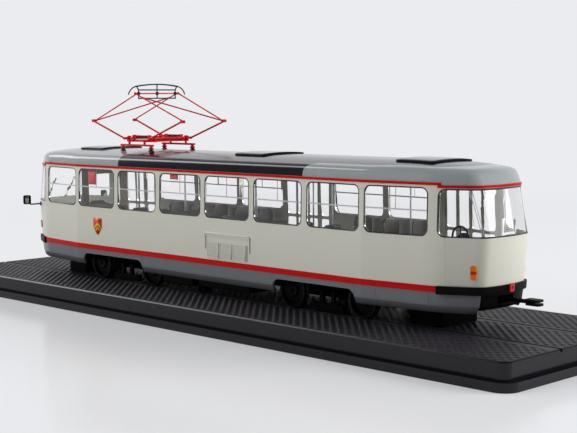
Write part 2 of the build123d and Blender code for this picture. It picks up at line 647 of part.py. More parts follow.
for name, centre in bogies.items():
    frame_parts = []
    beam_z = (AXLE_Z - 2.2, AXLE_Z + 2.6)
    beam_x = (centre - WHEELBASE / 2 - 2.6, centre + WHEELBASE / 2 + 2.6)
    beam = box(beam_x, (BEAM_Y - BEAM_WIDTH / 2, BEAM_Y + BEAM_WIDTH / 2), beam_z)
    frame_parts = both_sides(fillet(beam.edges().filter_by(Axis.Y), 1.6))
    frame_parts.append(box((centre - 5, centre + 5), (-13.5, 13.5), (AXLE_Z - 0.6, AXLE_Z + 3.4)))
    frame_parts.append(rod((centre, 0, AXLE_Z), (centre, 0, PLATE_Z - GAP), 6.0))
    frame_parts.append(box((centre - 13, centre + 13), (-5, 5), (AXLE_Z - 3.2, AXLE_Z + 1.4)))
    for end in (1, -1):
        brake_y = GAUGE / 2 + 0.3
        shoe = box((centre - 10.5, centre + 10.5), (brake_y - 1.3, brake_y + 1.3), (0.9, 4.2))
        shoe = fillet(shoe.edges().filter_by(Axis.Y), 0.8)
        frame_parts.append(shoe if end == 1 else mirror(shoe, Plane.XZ))
        for x in (centre - 3.5, centre + 3.5):
            hanger_y = sorted((end * 12.0, end * (brake_y + 0.9)))
            frame_parts.append(box((x - 1, x + 1), hanger_y, (AXLE_Z, AXLE_Z + 1.6)))
            hanger_y = sorted((end * (brake_y - 0.9), end * (brake_y + 0.9)))
            frame_parts.append(box((x - 1, x + 1), hanger_y, (3.6, AXLE_Z + 1.6)))
        spring = rod((centre, end * 11.5, AXLE_Z + 3), (centre, end * 11.5, PLATE_Z - GAP), 2.2)
        frame_parts.append(spring)
    bogie = joined(frame_parts)
    for end in (1, -1):
        axle_x = centre + end * WHEELBASE / 2
        bogie = bogie - cross_rod(axle_x, (-20, 20), AXLE_Z, AXLE_R + AXLE_FIT)
    node("bogie_" + name, bogie)
    for end in (1, -1):
        number = number + 1
        node("wheelset_" + str(number), Pos(centre + end * WHEELBASE / 2, 0, AXLE_Z) * wheelset)

# Drawgear pockets under the ends, each closed by a panel with a slot, and the couplers that swing in them
POCKET_X = (141.0, 157.5)
POCKET_HALF = 13.0
POCKET_WALL = 1.2
POCKET_FOOT_Z = 10.2
POCKET_SIDE_X = (141.0, 153.0)
PIN_SHELF_X = (142.0, 150.6)
PIN_SHELF_HALF = 3.0
EYE_HALF = 1.1
EYE_PLAY = 0.3
PANEL_HALF = 14.9
PANEL_Z = (9.8, BUMPER_Z[0] - GAP)
PANEL_INSET = (0.3, 1.5)
SLOT_HALF = 5.4
SLOT_Z = (COUPLER_Z - 1.7, COUPLER_Z + 1.7)
eye_z = (COUPLER_Z - EYE_HALF, COUPLER_Z + EYE_HALF)
pocket_top = PLATE_Z - GAP
pocket = box(POCKET_X, (-POCKET_HALF, POCKET_HALF), (eye_z[1] + EYE_PLAY, pocket_top))
pocket = pocket & envelope(PANEL_INSET[0], SKIRT_Z, SOLE_Z + 1)
back_x = (POCKET_X[0], POCKET_X[0] + POCKET_WALL)
pocket = pocket + box(back_x, (-POCKET_HALF, POCKET_HALF), (POCKET_FOOT_Z, pocket_top))
cheek = box(POCKET_SIDE_X, (POCKET_HALF - POCKET_WALL, POCKET_HALF), (POCKET_FOOT_Z, pocket_top))
for side in both_sides(cheek):
    pocket = pocket + side
pocket = pocket + box(PIN_SHELF_X, (-PIN_SHELF_HALF, PIN_SHELF_HALF), (POCKET_FOOT_Z, eye_z[0] - EYE_PLAY))
pin_z = (POCKET_FOOT_Z + 0.8, pocket_top - 1)
pocket = pocket + rod((COUPLER_PIVOT_X, 0, pin_z[0]), (COUPLER_PIVOT_X, 0, pin_z[1]), COUPLER_PIN_R)
panel_shape = end_prism((-PANEL_HALF, PANEL_HALF), (PANEL_Z[0], PANEL_Z[1] + 4), 1, 2.0)
panel = skin(*PANEL_INSET, *PANEL_Z) & panel_shape
pocket = pocket + (panel - end_prism((-SLOT_HALF, SLOT_HALF), SLOT_Z, 1, 1.0))
coupler = rod((COUPLER_PIVOT_X, 0, eye_z[0]), (COUPLER_PIVOT_X, 0, eye_z[1]), COUPLER_EYE_R)
coupler = coupler + rod((COUPLER_PIVOT_X, 0, COUPLER_Z), (COUPLER_HEAD_X[0] + 1, 0, COUPLER_Z), COUPLER_BAR_R)
head = box(COUPLER_HEAD_X, (-2.2, 2.2), (COUPLER_Z - 1.3, COUPLER_Z + 1.3))
head = fillet(head.edges().filter_by(Axis.Z), 1.0)
coupler = coupler + head - box((COUPLER_HEAD_X[0] + 2, 200), (-5, 5), (COUPLER_Z - 0.35, COUPLER_Z + 0.35))
coupler = coupler - rod((COUPLER_PIVOT_X, 0, 0), (COUPLER_PIVOT_X, 0, 30), COUPLER_PIN_R + GAP)
coupler = coupler - rod((COUPLER_BORE_X, 0, 0), (COUPLER_BORE_X, 0, 30), COUPLER_BORE_R)
node("drawgear_front", pocket)
node("drawgear_rear", mirror(pocket, Plane.YZ))
node("coupler_front", coupler)
node("coupler_rear", mirror(coupler, Plane.YZ))

# Pantograph base: insulators on the roof, two bars, a frame with four bearings, springs
FOOT_HALF = 12.0
FOOT_R = 0.9
FOOT_SHED_R = 1.4
FOOT_SHED_Z = (71.4, 72.2)
FOOT_FLANGE_R = 1.5
FOOT_FLANGE_Z = 70.9
FOOT_DEEP_Z = 69.0
BAR_LOW_Z = 73.0
BAR_THICK = 1.0
BAR_HALF = (13.5, 0.8)
FRAME_Z = (75.2, 76.2)
FRAME_Y = 11.0
FRAME_HALF = (12.0, 0.7)
FRAME_POST_X = 6.5
FRAME_POST_R = 0.6
BEARING_WALL = 0.7
SPRING_Y = FRAME_Y
SPRING_Z = 77.9
SPRING_R = 0.8
SPRING_LUG = (0.4, 1.0)
insulators = []
for x in (PANTO_X - FOOT_HALF, PANTO_X + FOOT_HALF):
    for y in (-PANTO_Y, PANTO_Y):
        foot = rod((x, y, FOOT_DEEP_Z), (x, y, BAR_LOW_Z), FOOT_R)
        foot = foot + rod((x, y, FOOT_SHED_Z[0]), (x, y, FOOT_SHED_Z[1]), FOOT_SHED_R)
        foot = foot + rod((x, y, FOOT_DEEP_Z), (x, y, FOOT_FLANGE_Z), FOOT_FLANGE_R)
        insulators.append(foot - roof_clear)
node("pantograph_insulators", apart(insulators))
post_xs = (PANTO_X - FRAME_POST_X, PANTO_X + FRAME_POST_X)
shaft_xs = (PANTO_X - SHAFT_HALF, PANTO_X + SHAFT_HALF)


def beam(y, half, z):
    """A bar along the tram at one y, from its half length and half width."""
    return box((PANTO_X - half[0], PANTO_X + half[0]), (y - half[1], y + half[1]), z)


base_parts = []
for side in (1, -1):
    bar_y, frame_y = side * PANTO_Y, side * FRAME_Y
    base_parts.append(beam(bar_y, BAR_HALF, (BAR_LOW_Z, BAR_LOW_Z + BAR_THICK)))
    base_parts.append(beam(frame_y, FRAME_HALF, FRAME_Z))
    for x in post_xs:
        base_parts.append(rod((x, bar_y, BAR_LOW_Z), (x, bar_y, FRAME_Z[1]), FRAME_POST_R))
    for x in shaft_xs:
        bearing_y = (frame_y - FRAME_HALF[1], frame_y + FRAME_HALF[1])
        base_parts.append(cross_rod(x, bearing_y, SHAFT_Z, SHAFT_R + BEARING_WALL))
lug_x, lug_y = SPRING_LUG
for x in post_xs:
    cross_y = (-PANTO_Y - FRAME_POST_R, PANTO_Y + FRAME_POST_R)
    base_parts.append(box((x - FRAME_HALF[1], x + FRAME_HALF[1]), cross_y, FRAME_Z))
    for y in (-SPRING_Y, SPRING_Y):
        base_parts.append(box((x - lug_x, x + lug_x), (y - lug_y, y + lug_y), (FRAME_Z[0], SPRING_Z + lug_y)))
base = joined(base_parts)
for x in shaft_xs:
    base = base - cross_rod(x, (-20, 20), SHAFT_Z, SHAFT_R + PIN_FIT)
node("pantograph_base", base)
spring_half = FRAME_POST_X - lug_x - SEAT
springs = [
    rod((PANTO_X - spring_half, y, SPRING_Z), (PANTO_X + spring_half, y, SPRING_Z), SPRING_R)
    for y in (-SPRING_Y, SPRING_Y)
]
node("pantograph_springs", apart(springs))

# Folding frames: the front pair here, the rear pair mirrored about the middle of the base
shaft_x = PANTO_X + SHAFT_HALF
knee_x = PANTO_X + KNEE_HALF
mirror_plane = Plane(origin=(PANTO_X, 0, 0), z_dir=(1, 0, 0))
lower = cross_rod(shaft_x, (-PANTO_Y - 0.5, PANTO_Y + 0.5), SHAFT_Z, SHAFT_R)
for side in (1, -1):
    lower = lower + rod((shaft_x, side * PANTO_Y, SHAFT_Z), (knee_x, side * KNEE_Y, KNEE_Z), LOWER_TUBE_R)
    eye_y = sorted((side * (KNEE_Y - 0.5), side * (KNEE_Y + 0.5)))
    lower = lower + cross_rod(knee_x, eye_y, KNEE_Z, 0.8)
    pin_y = sorted((side * (KNEE_Y - 2.2), side * KNEE_Y))
    lower = lower + cross_rod(knee_x, pin_y, KNEE_Z, PIN_R)
node("lower_frame_front", lower)
node("lower_frame_rear", mirror(lower, mirror_plane))
UPPER_KNEE_Y = KNEE_Y - 1.4
FRONT_TIP_Y = 13.6
REAR_TIP_Y = 14.85
DIAGONAL_SHARE = 0.86


def upper_frame(tip_y, diagonal_from, tip_x):
    """Two tubes from the knees to the head, and a diagonal from one knee to the other tube."""
    tubes = []
    for side in (1, -1):
        knee = (knee_x, side * UPPER_KNEE_Y, KNEE_Z)
        tubes.append(rod(knee, (tip_x, side * tip_y, HEAD_Z), UPPER_TUBE_R))
        eye_y = (side * UPPER_KNEE_Y - 0.5, side * UPPER_KNEE_Y + 0.5)
        tubes.append(cross_rod(knee_x, eye_y, KNEE_Z, 0.8))
    start = Vector(knee_x, diagonal_from * UPPER_KNEE_Y, KNEE_Z)
    other = Vector(knee_x, -diagonal_from * UPPER_KNEE_Y, KNEE_Z)
    tip = Vector(tip_x, -diagonal_from * tip_y, HEAD_Z)
    meeting = other + (tip - other) * DIAGONAL_SHARE
    tubes.append(rod(tuple(start), tuple(meeting), UPPER_TUBE_R))
    frame = joined(tubes)
    return frame - cross_rod(knee_x, (-20, 20), KNEE_Z, PIN_R + PIN_FIT)


upper_front = upper_frame(FRONT_TIP_Y, 1, PANTO_X)
upper_front = upper_front + cross_rod(PANTO_X, (-FRONT_TIP_Y - 0.5, FRONT_TIP_Y + 0.5), HEAD_Z, PIN_R)
node("upper_frame_front", upper_front)
upper_rear = mirror(upper_frame(REAR_TIP_Y, -1, PANTO_X), mirror_plane)
for side in (1, -1):
    eye_y = (side * REAR_TIP_Y - 0.4, side * REAR_TIP_Y + 0.4)
    upper_rear = upper_rear + cross_rod(PANTO_X, eye_y, HEAD_Z, 0.7)
node("upper_frame_rear", upper_rear)

# Collector head: three cross bars on three posts, the top one a cambered bow with horns bent down
def bent(section, *points):
    """A section carried along an arc through three points across the tram."""
    arc = ThreePointArc(*[(PANTO_X, y, z) for y, z in points])
    return sweep(Plane(origin=arc @ 0, x_dir=(1, 0, 0), z_dir=arc % 0) * section, path=arc)


bow = bent(Rectangle(*BOW_SECTION), (-BOW_Y, BOW_Z), (0, BOW_Z + BOW_RISE), (BOW_Y, BOW_Z))
head_parts = [bow, rod((PANTO_X, 0, HEAD_LOW_Z), (PANTO_X, 0, BOW_Z + BOW_RISE), HEAD_BAR_R)]
for z in (HEAD_LOW_Z, HEAD_MID_Z):
    bar_y = HEAD_POST_Y + HEAD_BAR_R
    head_parts.append(cross_rod(PANTO_X, (-bar_y, bar_y), z, HEAD_BAR_R))
for y in (-HEAD_POST_Y, 0, HEAD_POST_Y):
    head_parts.append(cross_rod(PANTO_X, (y - 0.5, y + 0.5), HEAD_Z, HEAD_EYE_R))
horn = bent(Circle(HEAD_BAR_R), (BOW_Y - 0.6, BOW_Z), HORN_BEND, HORN_TIP)
post = rod((PANTO_X, HEAD_POST_Y, HEAD_LOW_Z), (PANTO_X, HEAD_POST_Y, HEAD_MID_Z), HEAD_BAR_R)
flare = rod((PANTO_X, HEAD_POST_Y, HEAD_MID_Z), (PANTO_X, BOW_Y - 0.2, BOW_Z), HEAD_BAR_R)
for piece in (horn, post, flare):
    head_parts.extend(both_sides(piece))
collector = joined(head_parts) - cross_rod(PANTO_X, (-BOW_Y, BOW_Y), HEAD_Z, PIN_R + PIN_FIT)
node("collector_head", collector)

os.makedirs("parts", exist_ok=True)
for name, shape in nodes.items():
    shape.label = name
    export_step(shape, os.path.join("parts", name + ".step"))
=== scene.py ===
import math

import bmesh
import bpy
import numpy as np
from mathutils import Matrix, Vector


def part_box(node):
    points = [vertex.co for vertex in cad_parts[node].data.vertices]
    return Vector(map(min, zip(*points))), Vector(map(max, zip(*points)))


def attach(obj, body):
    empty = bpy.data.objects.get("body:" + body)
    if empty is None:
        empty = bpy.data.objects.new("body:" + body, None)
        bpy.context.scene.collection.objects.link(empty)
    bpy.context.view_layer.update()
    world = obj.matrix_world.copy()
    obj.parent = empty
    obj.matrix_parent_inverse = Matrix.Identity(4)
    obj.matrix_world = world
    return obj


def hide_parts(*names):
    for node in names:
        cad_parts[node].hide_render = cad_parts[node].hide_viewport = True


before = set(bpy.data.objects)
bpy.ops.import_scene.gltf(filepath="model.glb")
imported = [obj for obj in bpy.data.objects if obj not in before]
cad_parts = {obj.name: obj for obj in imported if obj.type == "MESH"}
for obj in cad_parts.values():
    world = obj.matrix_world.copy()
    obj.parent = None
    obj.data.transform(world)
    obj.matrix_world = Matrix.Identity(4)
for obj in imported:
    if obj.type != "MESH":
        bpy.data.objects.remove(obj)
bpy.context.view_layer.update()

# Plinth
# The base is one moulding of black ABS. Its sides left a polished mould and shine, the bevel round
# the top catches the light, and the road on top was etched into the mould and is matt.
MM = 0.001
plinth_high = np.array(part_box("plinth")[1])
RAIL_Z = plinth_high[2]
ROAD_Z = RAIL_Z - 0.08 * MM
ETCH_GRAIN, ETCH_RELIEF = 0.4 * MM, 0.012 * MM


def linear(colour):
    """An sRGB hex colour as linear RGBA, by the sRGB transfer curve."""
    values = np.array([int(colour[i : i + 2], 16) for i in (1, 3, 5)]) / 255
    curve = np.where(values <= 0.04045, values / 12.92, ((values + 0.055) / 1.055) ** 2.4)
    return (*curve.tolist(), 1.0)


def add(material, kind, inputs=None, **settings):
    """Adds one shader node. An input given as an output socket is linked, and any other is set."""
    made = material.node_tree.nodes.new("ShaderNode" + kind)
    for name, value in settings.items():
        setattr(made, name, value)
    for name, value in (inputs or {}).items():
        if isinstance(value, bpy.types.NodeSocket):
            material.node_tree.links.new(value, made.inputs[name])
        else:
            made.inputs[name].default_value = value
    return made


def calc(material, operation, *values):
    """The number that one math node gives."""
    return add(material, "Math", dict(enumerate(values)), operation=operation).outputs[0]


def vector(material, operation, *values):
    """What one vector math node gives: a number for a length or a dot product, and else a vector."""
    made = add(material, "VectorMath", dict(enumerate(values)), operation=operation)
    return made.outputs["Value" if operation in ("LENGTH", "DOT_PRODUCT") else "Vector"]


def ramp(material, value, low, high, first=0.0, last=1.0, kind="LINEAR"):
    """A value that runs from first to last, mapped to run from low to high and clamped there."""
    limits = {"From Min": first, "From Max": last, "To Min": low, "To Max": high}
    return add(material, "MapRange", {"Value": value, **limits}, interpolation_type=kind).outputs["Result"]


def noise(material, place, size, detail):
    """Cloudy noise whose features are about the given size."""
    inputs = {"Vector": place, "Scale": 1 / size, "Detail": detail}
    return add(material, "TexNoise", inputs).outputs["Fac"]


def bump(material, height, distance, strength=1.0):
    """The normal of a relief of the given depth."""
    inputs = {"Height": height, "Distance": distance, "Strength": strength}
    return add(material, "Bump", inputs).outputs["Normal"]


def start(name):
    """An empty node material with its output node, and the piece's own coordinates in metres."""
    material = bpy.data.materials.new(name)
    material.use_nodes = True
    material.node_tree.nodes.clear()
    output = add(material, "OutputMaterial")
    place = add(material, "TexCoord").outputs["Object"]
    return material, output, place


def close(material, output, shader):
    """Joins the finished shader to the material's output."""
    material.node_tree.links.new(shader.outputs[0], output.inputs["Surface"])
    return material


def paint(material, *names):
    """Gives a material to CAD nodes."""
    for name in names:
        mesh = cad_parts[name].data
        mesh.materials.clear()
        mesh.materials.append(material)


def blend(material, mask, first, second):
    """Two colours, each a hex or a socket: the first where the mask is 0, the second where it is 1."""
    first, second = (linear(tone) if isinstance(tone, str) else tone for tone in (first, second))
    inputs = {"Factor": mask, "A": first, "B": second}
    return add(material, "Mix", inputs, data_type="RGBA").outputs["Result"]


def two_tone(material, output, mask, first, second, **sockets):
    """Finishes a material of two colours, blended by a mask."""
    tone = blend(material, mask, first, second)
    shader = add(material, "BsdfPrincipled", {"Base Color": tone, **sockets})
    return close(material, output, shader)


# Polished and etched ABS in one moulding: deep bluish black with a sharp sheen on the sides, and a
# browner, duller black with a fine grain on the road.
plinth_black, output, place = start("polished and etched black ABS")
height = add(plinth_black, "SeparateXYZ", {"Vector": place}).outputs["Z"]
road = calc(plinth_black, "GREATER_THAN", height, ROAD_Z)
etch = noise(plinth_black, place, ETCH_GRAIN, 3.0)
gloss, depth = ramp(plinth_black, road, 0.2, 0.5), ramp(plinth_black, road, 0.05, 0.6)
relief = bump(plinth_black, etch, ETCH_RELIEF, depth)
sockets = {"Roughness": gloss, "IOR": 1.54, "Specular IOR Level": 0.3, "Normal": relief}
paint(two_tone(plinth_black, output, road, "#15151b", "#2a272e", **sockets), "plinth")

# Setts
# The road is moulded as small square setts, pillow-shaped and set corner to corner like a
# chessboard. Smooth strips are left along the rail grooves, and a flat rim along the bevel.
SETT, SETT_RISE, SETT_FOOT, SETT_POINTS = 2.2 * MM, 0.26 * MM, 0.1 * MM, 5
ROAD_RIM = 4.4 * MM
GROOVE_STRIP = (15.6 * MM, 19.9 * MM)
PEDESTAL_X, PEDESTAL_Y = (118 * MM, 136 * MM), 13.5 * MM
CLOUD, GLOSS_SPREAD = 14 * MM, 0.06
MERGE = 0.0005 * MM


def moulded(name, dark, pale, roughness, grain_mm, relief_mm, **sockets):
    """Injection-moulded plastic: a faint cloudiness, and a fine grain in the gloss and the surface."""
    material, output, place = start(name)
    cloud = noise(material, place, CLOUD, 2.0)
    grain = noise(material, place, grain_mm * MM, 3.0)
    gloss = ramp(material, grain, roughness - GLOSS_SPREAD, roughness + GLOSS_SPREAD)
    relief = bump(material, grain, relief_mm * MM)
    return two_tone(material, output, cloud, dark, pale, Roughness=gloss, Normal=relief, **sockets)


def weave(rows, columns, closed_rows=False, closed_columns=False):
    """Quads of a grid of points numbered row by row.

    A closed direction runs on from its last line to its first.
    """
    row, column = np.meshgrid(
        np.arange(rows - (not closed_rows)), np.arange(columns - (not closed_columns)), indexing="ij"
    )
    here, there = row * columns, (row + 1) % rows * columns
    right = (column + 1) % columns
    return np.stack([here + column, here + right, there + right, there + column], -1).reshape(-1, 4)


def repeat(quads, count, points):
    """Quads of count like shapes one after the other, each with the given number of points."""
    return np.arange(count)[:, None, None] * points + quads


def link(name, data):
    """A new object that holds the given data, put into the scene."""
    made = bpy.data.objects.new(name, data)
    bpy.context.scene.collection.objects.link(made)
    return made


def piece(name, points, quads, material, smooth=True):
    """One mesh from points and quads, with the points of its seams and poles merged, on the tram."""
    mesh = bpy.data.meshes.new(name)
    mesh.from_pydata(points.reshape(-1, 3).tolist(), [], quads.reshape(-1, 4).tolist())
    merged = bmesh.new()
    merged.from_mesh(mesh)
    bmesh.ops.remove_doubles(merged, verts=merged.verts, dist=MERGE)
    merged.to_mesh(mesh)
    merged.free()
    mesh.polygons.foreach_set("use_smooth", np.full(len(mesh.polygons), smooth))
    mesh.materials.append(material)
    made = link(name, mesh)
    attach(made, "tram")
    return made


# One sett: a grid whose height is (1 - x^4)(1 - y^4), with its border joined to a point in the road.
span = np.linspace(-1, 1, SETT_POINTS)
across, along = np.meshgrid(span, span)
crown = SETT_RISE * (1 - across**4) * (1 - along**4)
pillow = np.stack([across * SETT / 2, along * SETT / 2, crown], -1).reshape(-1, 3)
pillow = np.concatenate([pillow, [[0, 0, -SETT_FOOT]]])
number = np.arange(SETT_POINTS**2).reshape(SETT_POINTS, -1)
border = np.concatenate([number[0, :-1], number[:-1, -1], number[-1, :0:-1], number[:0:-1, 0]])
foot = np.full(len(border) // 2, SETT_POINTS**2)
under = np.stack([foot, np.roll(border, -2)[::2], border[1::2], border[::2]], -1)
sett_quads = np.concatenate([weave(SETT_POINTS, SETT_POINTS), under])

counts = (2 * (plinth_high[:2] - ROAD_RIM) / SETT).astype(int)
column, row = np.meshgrid(np.arange(counts[0]), np.arange(counts[1]), indexing="ij")
sett_x, sett_y = (column - (counts[0] - 1) / 2) * SETT, (row - (counts[1] - 1) / 2) * SETT
side_y = np.abs(sett_y)
laid = (column + row) % 2 == 0
laid &= (side_y + SETT / 2 < GROOVE_STRIP[0]) | (side_y - SETT / 2 > GROOVE_STRIP[1])
laid &= (np.abs(np.abs(sett_x) - np.mean(PEDESTAL_X)) > np.ptp(PEDESTAL_X) / 2 + SETT / 2) | (
    side_y > PEDESTAL_Y + SETT / 2
)
middles = np.stack([sett_x[laid], sett_y[laid], np.full(laid.sum(), RAIL_Z)], -1)
# Etched ABS: dull and grainy, a little paler than the flat road because the crowns are rubbed.
sett_black = moulded("etched black ABS", "#25232a", "#2e2c33", 0.36, 0.4, 0.006, IOR=1.54)
piece("road_setts", middles[:, None] + pillow, repeat(sett_quads, len(middles), len(pillow)), sett_black)

# Pedestals and screws
# Two black blocks between the rails carry the tram, which is held down by a slotted steel screw
# through each. The screws are blackened and show only from below.
# Matt ABS: a flat black without depth, on which only a faint grain catches light.
under_black = moulded(
    "matt black ABS", "#070708", "#0c0c0d", 0.5, 0.35, 0.006, **{"IOR": 1.54, "Specular IOR Level": 0.1}
)
# Blackened steel: dark grey with a soft metal gleam.
screw_steel = moulded("blackened steel", "#4a4a4c", "#565658", 0.36, 0.2, 0.003, Metallic=0.85)
paint(under_black, "pedestals")
paint(screw_steel, "plinth_screws")

# Wheelsets
# Each axle is turned with both of its wheels and chemically blackened. The treads are polished after
# that, so a bright band shows where a wheel would run.
TREAD_BRIGHT_R = 7.75 * MM
MARK_PITCH, MARK_RELIEF = 0.35 * MM, 0.004 * MM
for number in range(1, 5):
    name = f"wheelset_{number}"
    axle = np.mean(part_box(name), axis=0).tolist()
    # Blackened steel: dark and half glossy with turning marks, bright and smooth on the tread.
    wheel_steel, output, place = start("blackened turned steel " + str(number))
    offset = vector(wheel_steel, "SUBTRACT", place, axle)
    flat = vector(wheel_steel, "MULTIPLY", offset, (1, 0, 1))
    radius = vector(wheel_steel, "LENGTH", flat)
    bright = calc(wheel_steel, "GREATER_THAN", radius, TREAD_BRIGHT_R)
    marks = calc(wheel_steel, "MULTIPLY", radius, math.tau / MARK_PITCH)
    ridge = calc(wheel_steel, "SINE", marks)
    gloss = ramp(wheel_steel, bright, 0.42, 0.3)
    sockets = {"Metallic": 0.75, "Roughness": gloss, "Normal": bump(wheel_steel, ridge, MARK_RELIEF)}
    paint(two_tone(wheel_steel, output, bright, "#121214", "#3c3c3e", **sockets), name)

# Running gear and underframe
# Bogie frames, equipment boxes, drawgear and couplers are moulded in the same black ABS and left
# unpainted. They are clipped under a plate that closes the body, and thin plates close its pockets.
POCKET_X, POCKET_HALF = np.array([141.3, 156.6]) * MM, 12.8 * MM
POCKET_FLOOR_Z = RAIL_Z + np.array([9.5, 10.1]) * MM
paint(under_black, "underframe", "equipment_boxes", "bogie_front", "bogie_rear")
paint(under_black, "drawgear_front", "drawgear_rear", "coupler_front", "coupler_rear")


def slab(x, y, z):
    """A plain closed plate, as four rings of its four corners.

    They run from the middle of the underside over both edges to the middle of the top.
    """
    ring = np.array([[x[0], y[0]], [x[1], y[0]], [x[1], y[1]], [x[0], y[1]]])
    core = np.broadcast_to(ring.mean(0), ring.shape)
    rows = [(core, z[0]), (ring, z[0]), (ring, z[1]), (core, z[1])]
    return np.stack([np.column_stack([p, np.full(4, level)]) for p, level in rows])


floors = [slab(end * POCKET_X[::end], (-POCKET_HALF, POCKET_HALF), POCKET_FLOOR_Z) for end in (1, -1)]
floor_quads = repeat(weave(4, 4, closed_columns=True), 2, 16)
piece("pocket_floors", np.array(floors), floor_quads, under_black, smooth=False)

# Body shell
# Walls, masks, doors and the louvre panel are moulded in ABS and sprayed with satin cream enamel.
# The skirts below the belt are sprayed grey before they go on.
# The heights over which the skirts' painted shade fades into their grey.
SKIRT_SHADE_Z = RAIL_Z + np.array([7.5, 13.0]) * MM
STEP_X, STEP_Z = 143.5 * MM, RAIL_Z + 61.6 * MM
PEEL_MM, PEEL_RELIEF_MM = 0.9, 0.0015


def enamel(name, colour, shade, roughness, sheen=0.5):
    """Sprayed enamel: nearly even colour, soft gloss and a low orange peel. A lower sheen mirrors less."""
    sockets = {"IOR": 1.5, "Specular IOR Level": sheen}
    return moulded(name, colour, shade, roughness, PEEL_MM, PEEL_RELIEF_MM, **sockets)


def orange_peel(material, place):
    """The normal of the low orange peel with which sprayed enamel dries."""
    return bump(material, noise(material, place, PEEL_MM * MM, 3.0), PEEL_RELIEF_MM * MM)


# Cream enamel: a warm off-white that greys in shade, with a soft satin highlight.
cream = enamel("cream satin enamel", "#d0cfc1", "#d4d3c6", 0.36)
paint(cream, "end_mask_front", "end_mask_rear", "door_front", "door_middle", "door_rear")
# Grey enamel: a cool middle grey with the same satin. Towards the lower edge it is painted a dark grey:
# painted shade low on the skirt.
skirt_grey, output, place = start("grey satin enamel with painted shade low down")
height = add(skirt_grey, "SeparateXYZ", {"Vector": place}).outputs["Z"]
# Painted shade: 0 at the lower edge, where the grey is painted dark, rising to 1 higher up.
out_of_painted_shade = ramp(skirt_grey, height, 0, 1, *SKIRT_SHADE_Z, "SMOOTHSTEP")
sockets = {"Roughness": 0.34, "Specular IOR Level": 0.2, "Normal": orange_peel(skirt_grey, place)}
paint(two_tone(skirt_grey, output, out_of_painted_shade, "#3c3f42", "#74787c", **sockets), "skirt_left", "skirt_right")
# Cream enamel again, masked off at the wall tops above the end gutters, which get the roof's grey.
wall_paint, output, place = start("cream and grey satin enamel")
parts = add(wall_paint, "SeparateXYZ", {"Vector": place})
distance = calc(wall_paint, "ABSOLUTE", parts.outputs["X"])
beyond = calc(wall_paint, "GREATER_THAN", distance, STEP_X)
above = calc(wall_paint, "GREATER_THAN", parts.outputs["Z"], STEP_Z)
step = calc(wall_paint, "MULTIPLY", beyond, above)
sockets = {"Roughness": 0.36, "IOR": 1.5, "Normal": orange_peel(wall_paint, place)}
paint(two_tone(wall_paint, output, step, "#d2d1c4", "#9ca2a3", **sockets), "wall_left", "wall_right")

# Louvre
# A panel of slotted fields on the left wall, under a hood with a round lip that stands out like a small
# awning. Half-round posts stand between the fields, and the slots are painted a cooler grey as painted shade.
WALL_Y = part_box("wall_left")[1][1]
# The depth below which the slots get their painted shade.
SLOT_Y = WALL_Y + 0.35 * MM
LIP_X, LIP_Z = np.array([-34.0, -1.9]) * MM, RAIL_Z + np.array([31.2, 32.7]) * MM
LIP_CORNER, LIP_HALF, LIP_PROUD = 1.3 * MM, 0.6 * MM, 0.85 * MM
LIP_STEPS, LIP_SIDES = 8, 16
POST_X, POST_R = np.array([-12.1, -21.4, -31.2]) * MM, 0.36 * MM
POST_PROUD, POST_Z = 0.42 * MM, RAIL_Z + np.array([21.2, 28.4]) * MM
# Cream enamel with painted shade: faces sunk into the slots are painted a little cooler and darker.
louvre_paint, output, place = start("cream enamel with painted shade in the slots")
depth = add(louvre_paint, "SeparateXYZ", {"Vector": place}).outputs["Y"]
# Painted shade: faces sunk below the slot depth get the darker grey.
proud = calc(louvre_paint, "GREATER_THAN", depth, SLOT_Y)
paint(two_tone(louvre_paint, output, proud, "#bfc0b9", "#d2d1c4", Roughness=0.36, IOR=1.5), "louvre_panel")


def around(steps):
    """The angles of one full turn in equal steps, from zero."""
    return np.linspace(0, math.tau, steps, endpoint=False)


def rods(starts, ends, radius, sides=8):
    """Round bars with closed ends: rings of one radius about both end points, which are the poles."""
    axis = (ends - starts) / np.linalg.norm(ends - starts, axis=-1, keepdims=True)
    lean = np.where(np.abs(axis[:, 2:]) > 0.9, [[1.0, 0, 0]], [[0, 0, 1.0]])
    first = np.cross(lean, axis)
    first /= np.linalg.norm(first, axis=-1, keepdims=True)
    second = np.cross(axis, first)
    turn = around(sides)[:, None]
    ring = radius * (np.cos(turn) * first[:, None] + np.sin(turn) * second[:, None])
    low, high = starts[:, None], ends[:, None]
    points = np.stack([low + 0 * ring, low + ring, high + ring, high + 0 * ring], 1)
    return points, repeat(weave(4, sides, closed_columns=True), len(starts), 4 * sides)


# The lip: an ellipse carried up one side, round two corners and down the other side, with closed ends.
quarter = np.linspace(0, math.pi / 2, LIP_STEPS)
corner_turn = np.concatenate([quarter, math.pi / 2 + quarter])
lip_normal = np.stack([np.cos(corner_turn), np.sin(corner_turn)], -1)
corner_x = np.repeat([LIP_X[1] - LIP_CORNER, LIP_X[0] + LIP_CORNER], LIP_STEPS)
corner_z = np.full(2 * LIP_STEPS, LIP_Z[1] - LIP_CORNER)
lip_line = np.stack([corner_x, corner_z], -1) + LIP_CORNER * lip_normal
lip_line = np.concatenate([[[LIP_X[1], LIP_Z[0]]], lip_line, [[LIP_X[0], LIP_Z[0]]]])
lip_normal = np.concatenate([[[1.0, 0.0]], lip_normal, [[-1.0, 0.0]]])
lip_size = np.ones((len(lip_line), 1))
lip_size[[0, -1]] = 0
turn = around(LIP_SIDES)
reach = lip_size * LIP_HALF * np.cos(turn)
lip_points = np.stack(
    [
        lip_line[:, :1] + reach * lip_normal[:, :1],
        WALL_Y + lip_size * LIP_PROUD * np.sin(turn),
        lip_line[:, 1:] + reach * lip_normal[:, 1:],
    ],
    -1,
)
piece("louvre_lip", lip_points, weave(len(lip_line), LIP_SIDES, closed_columns=True), cream)
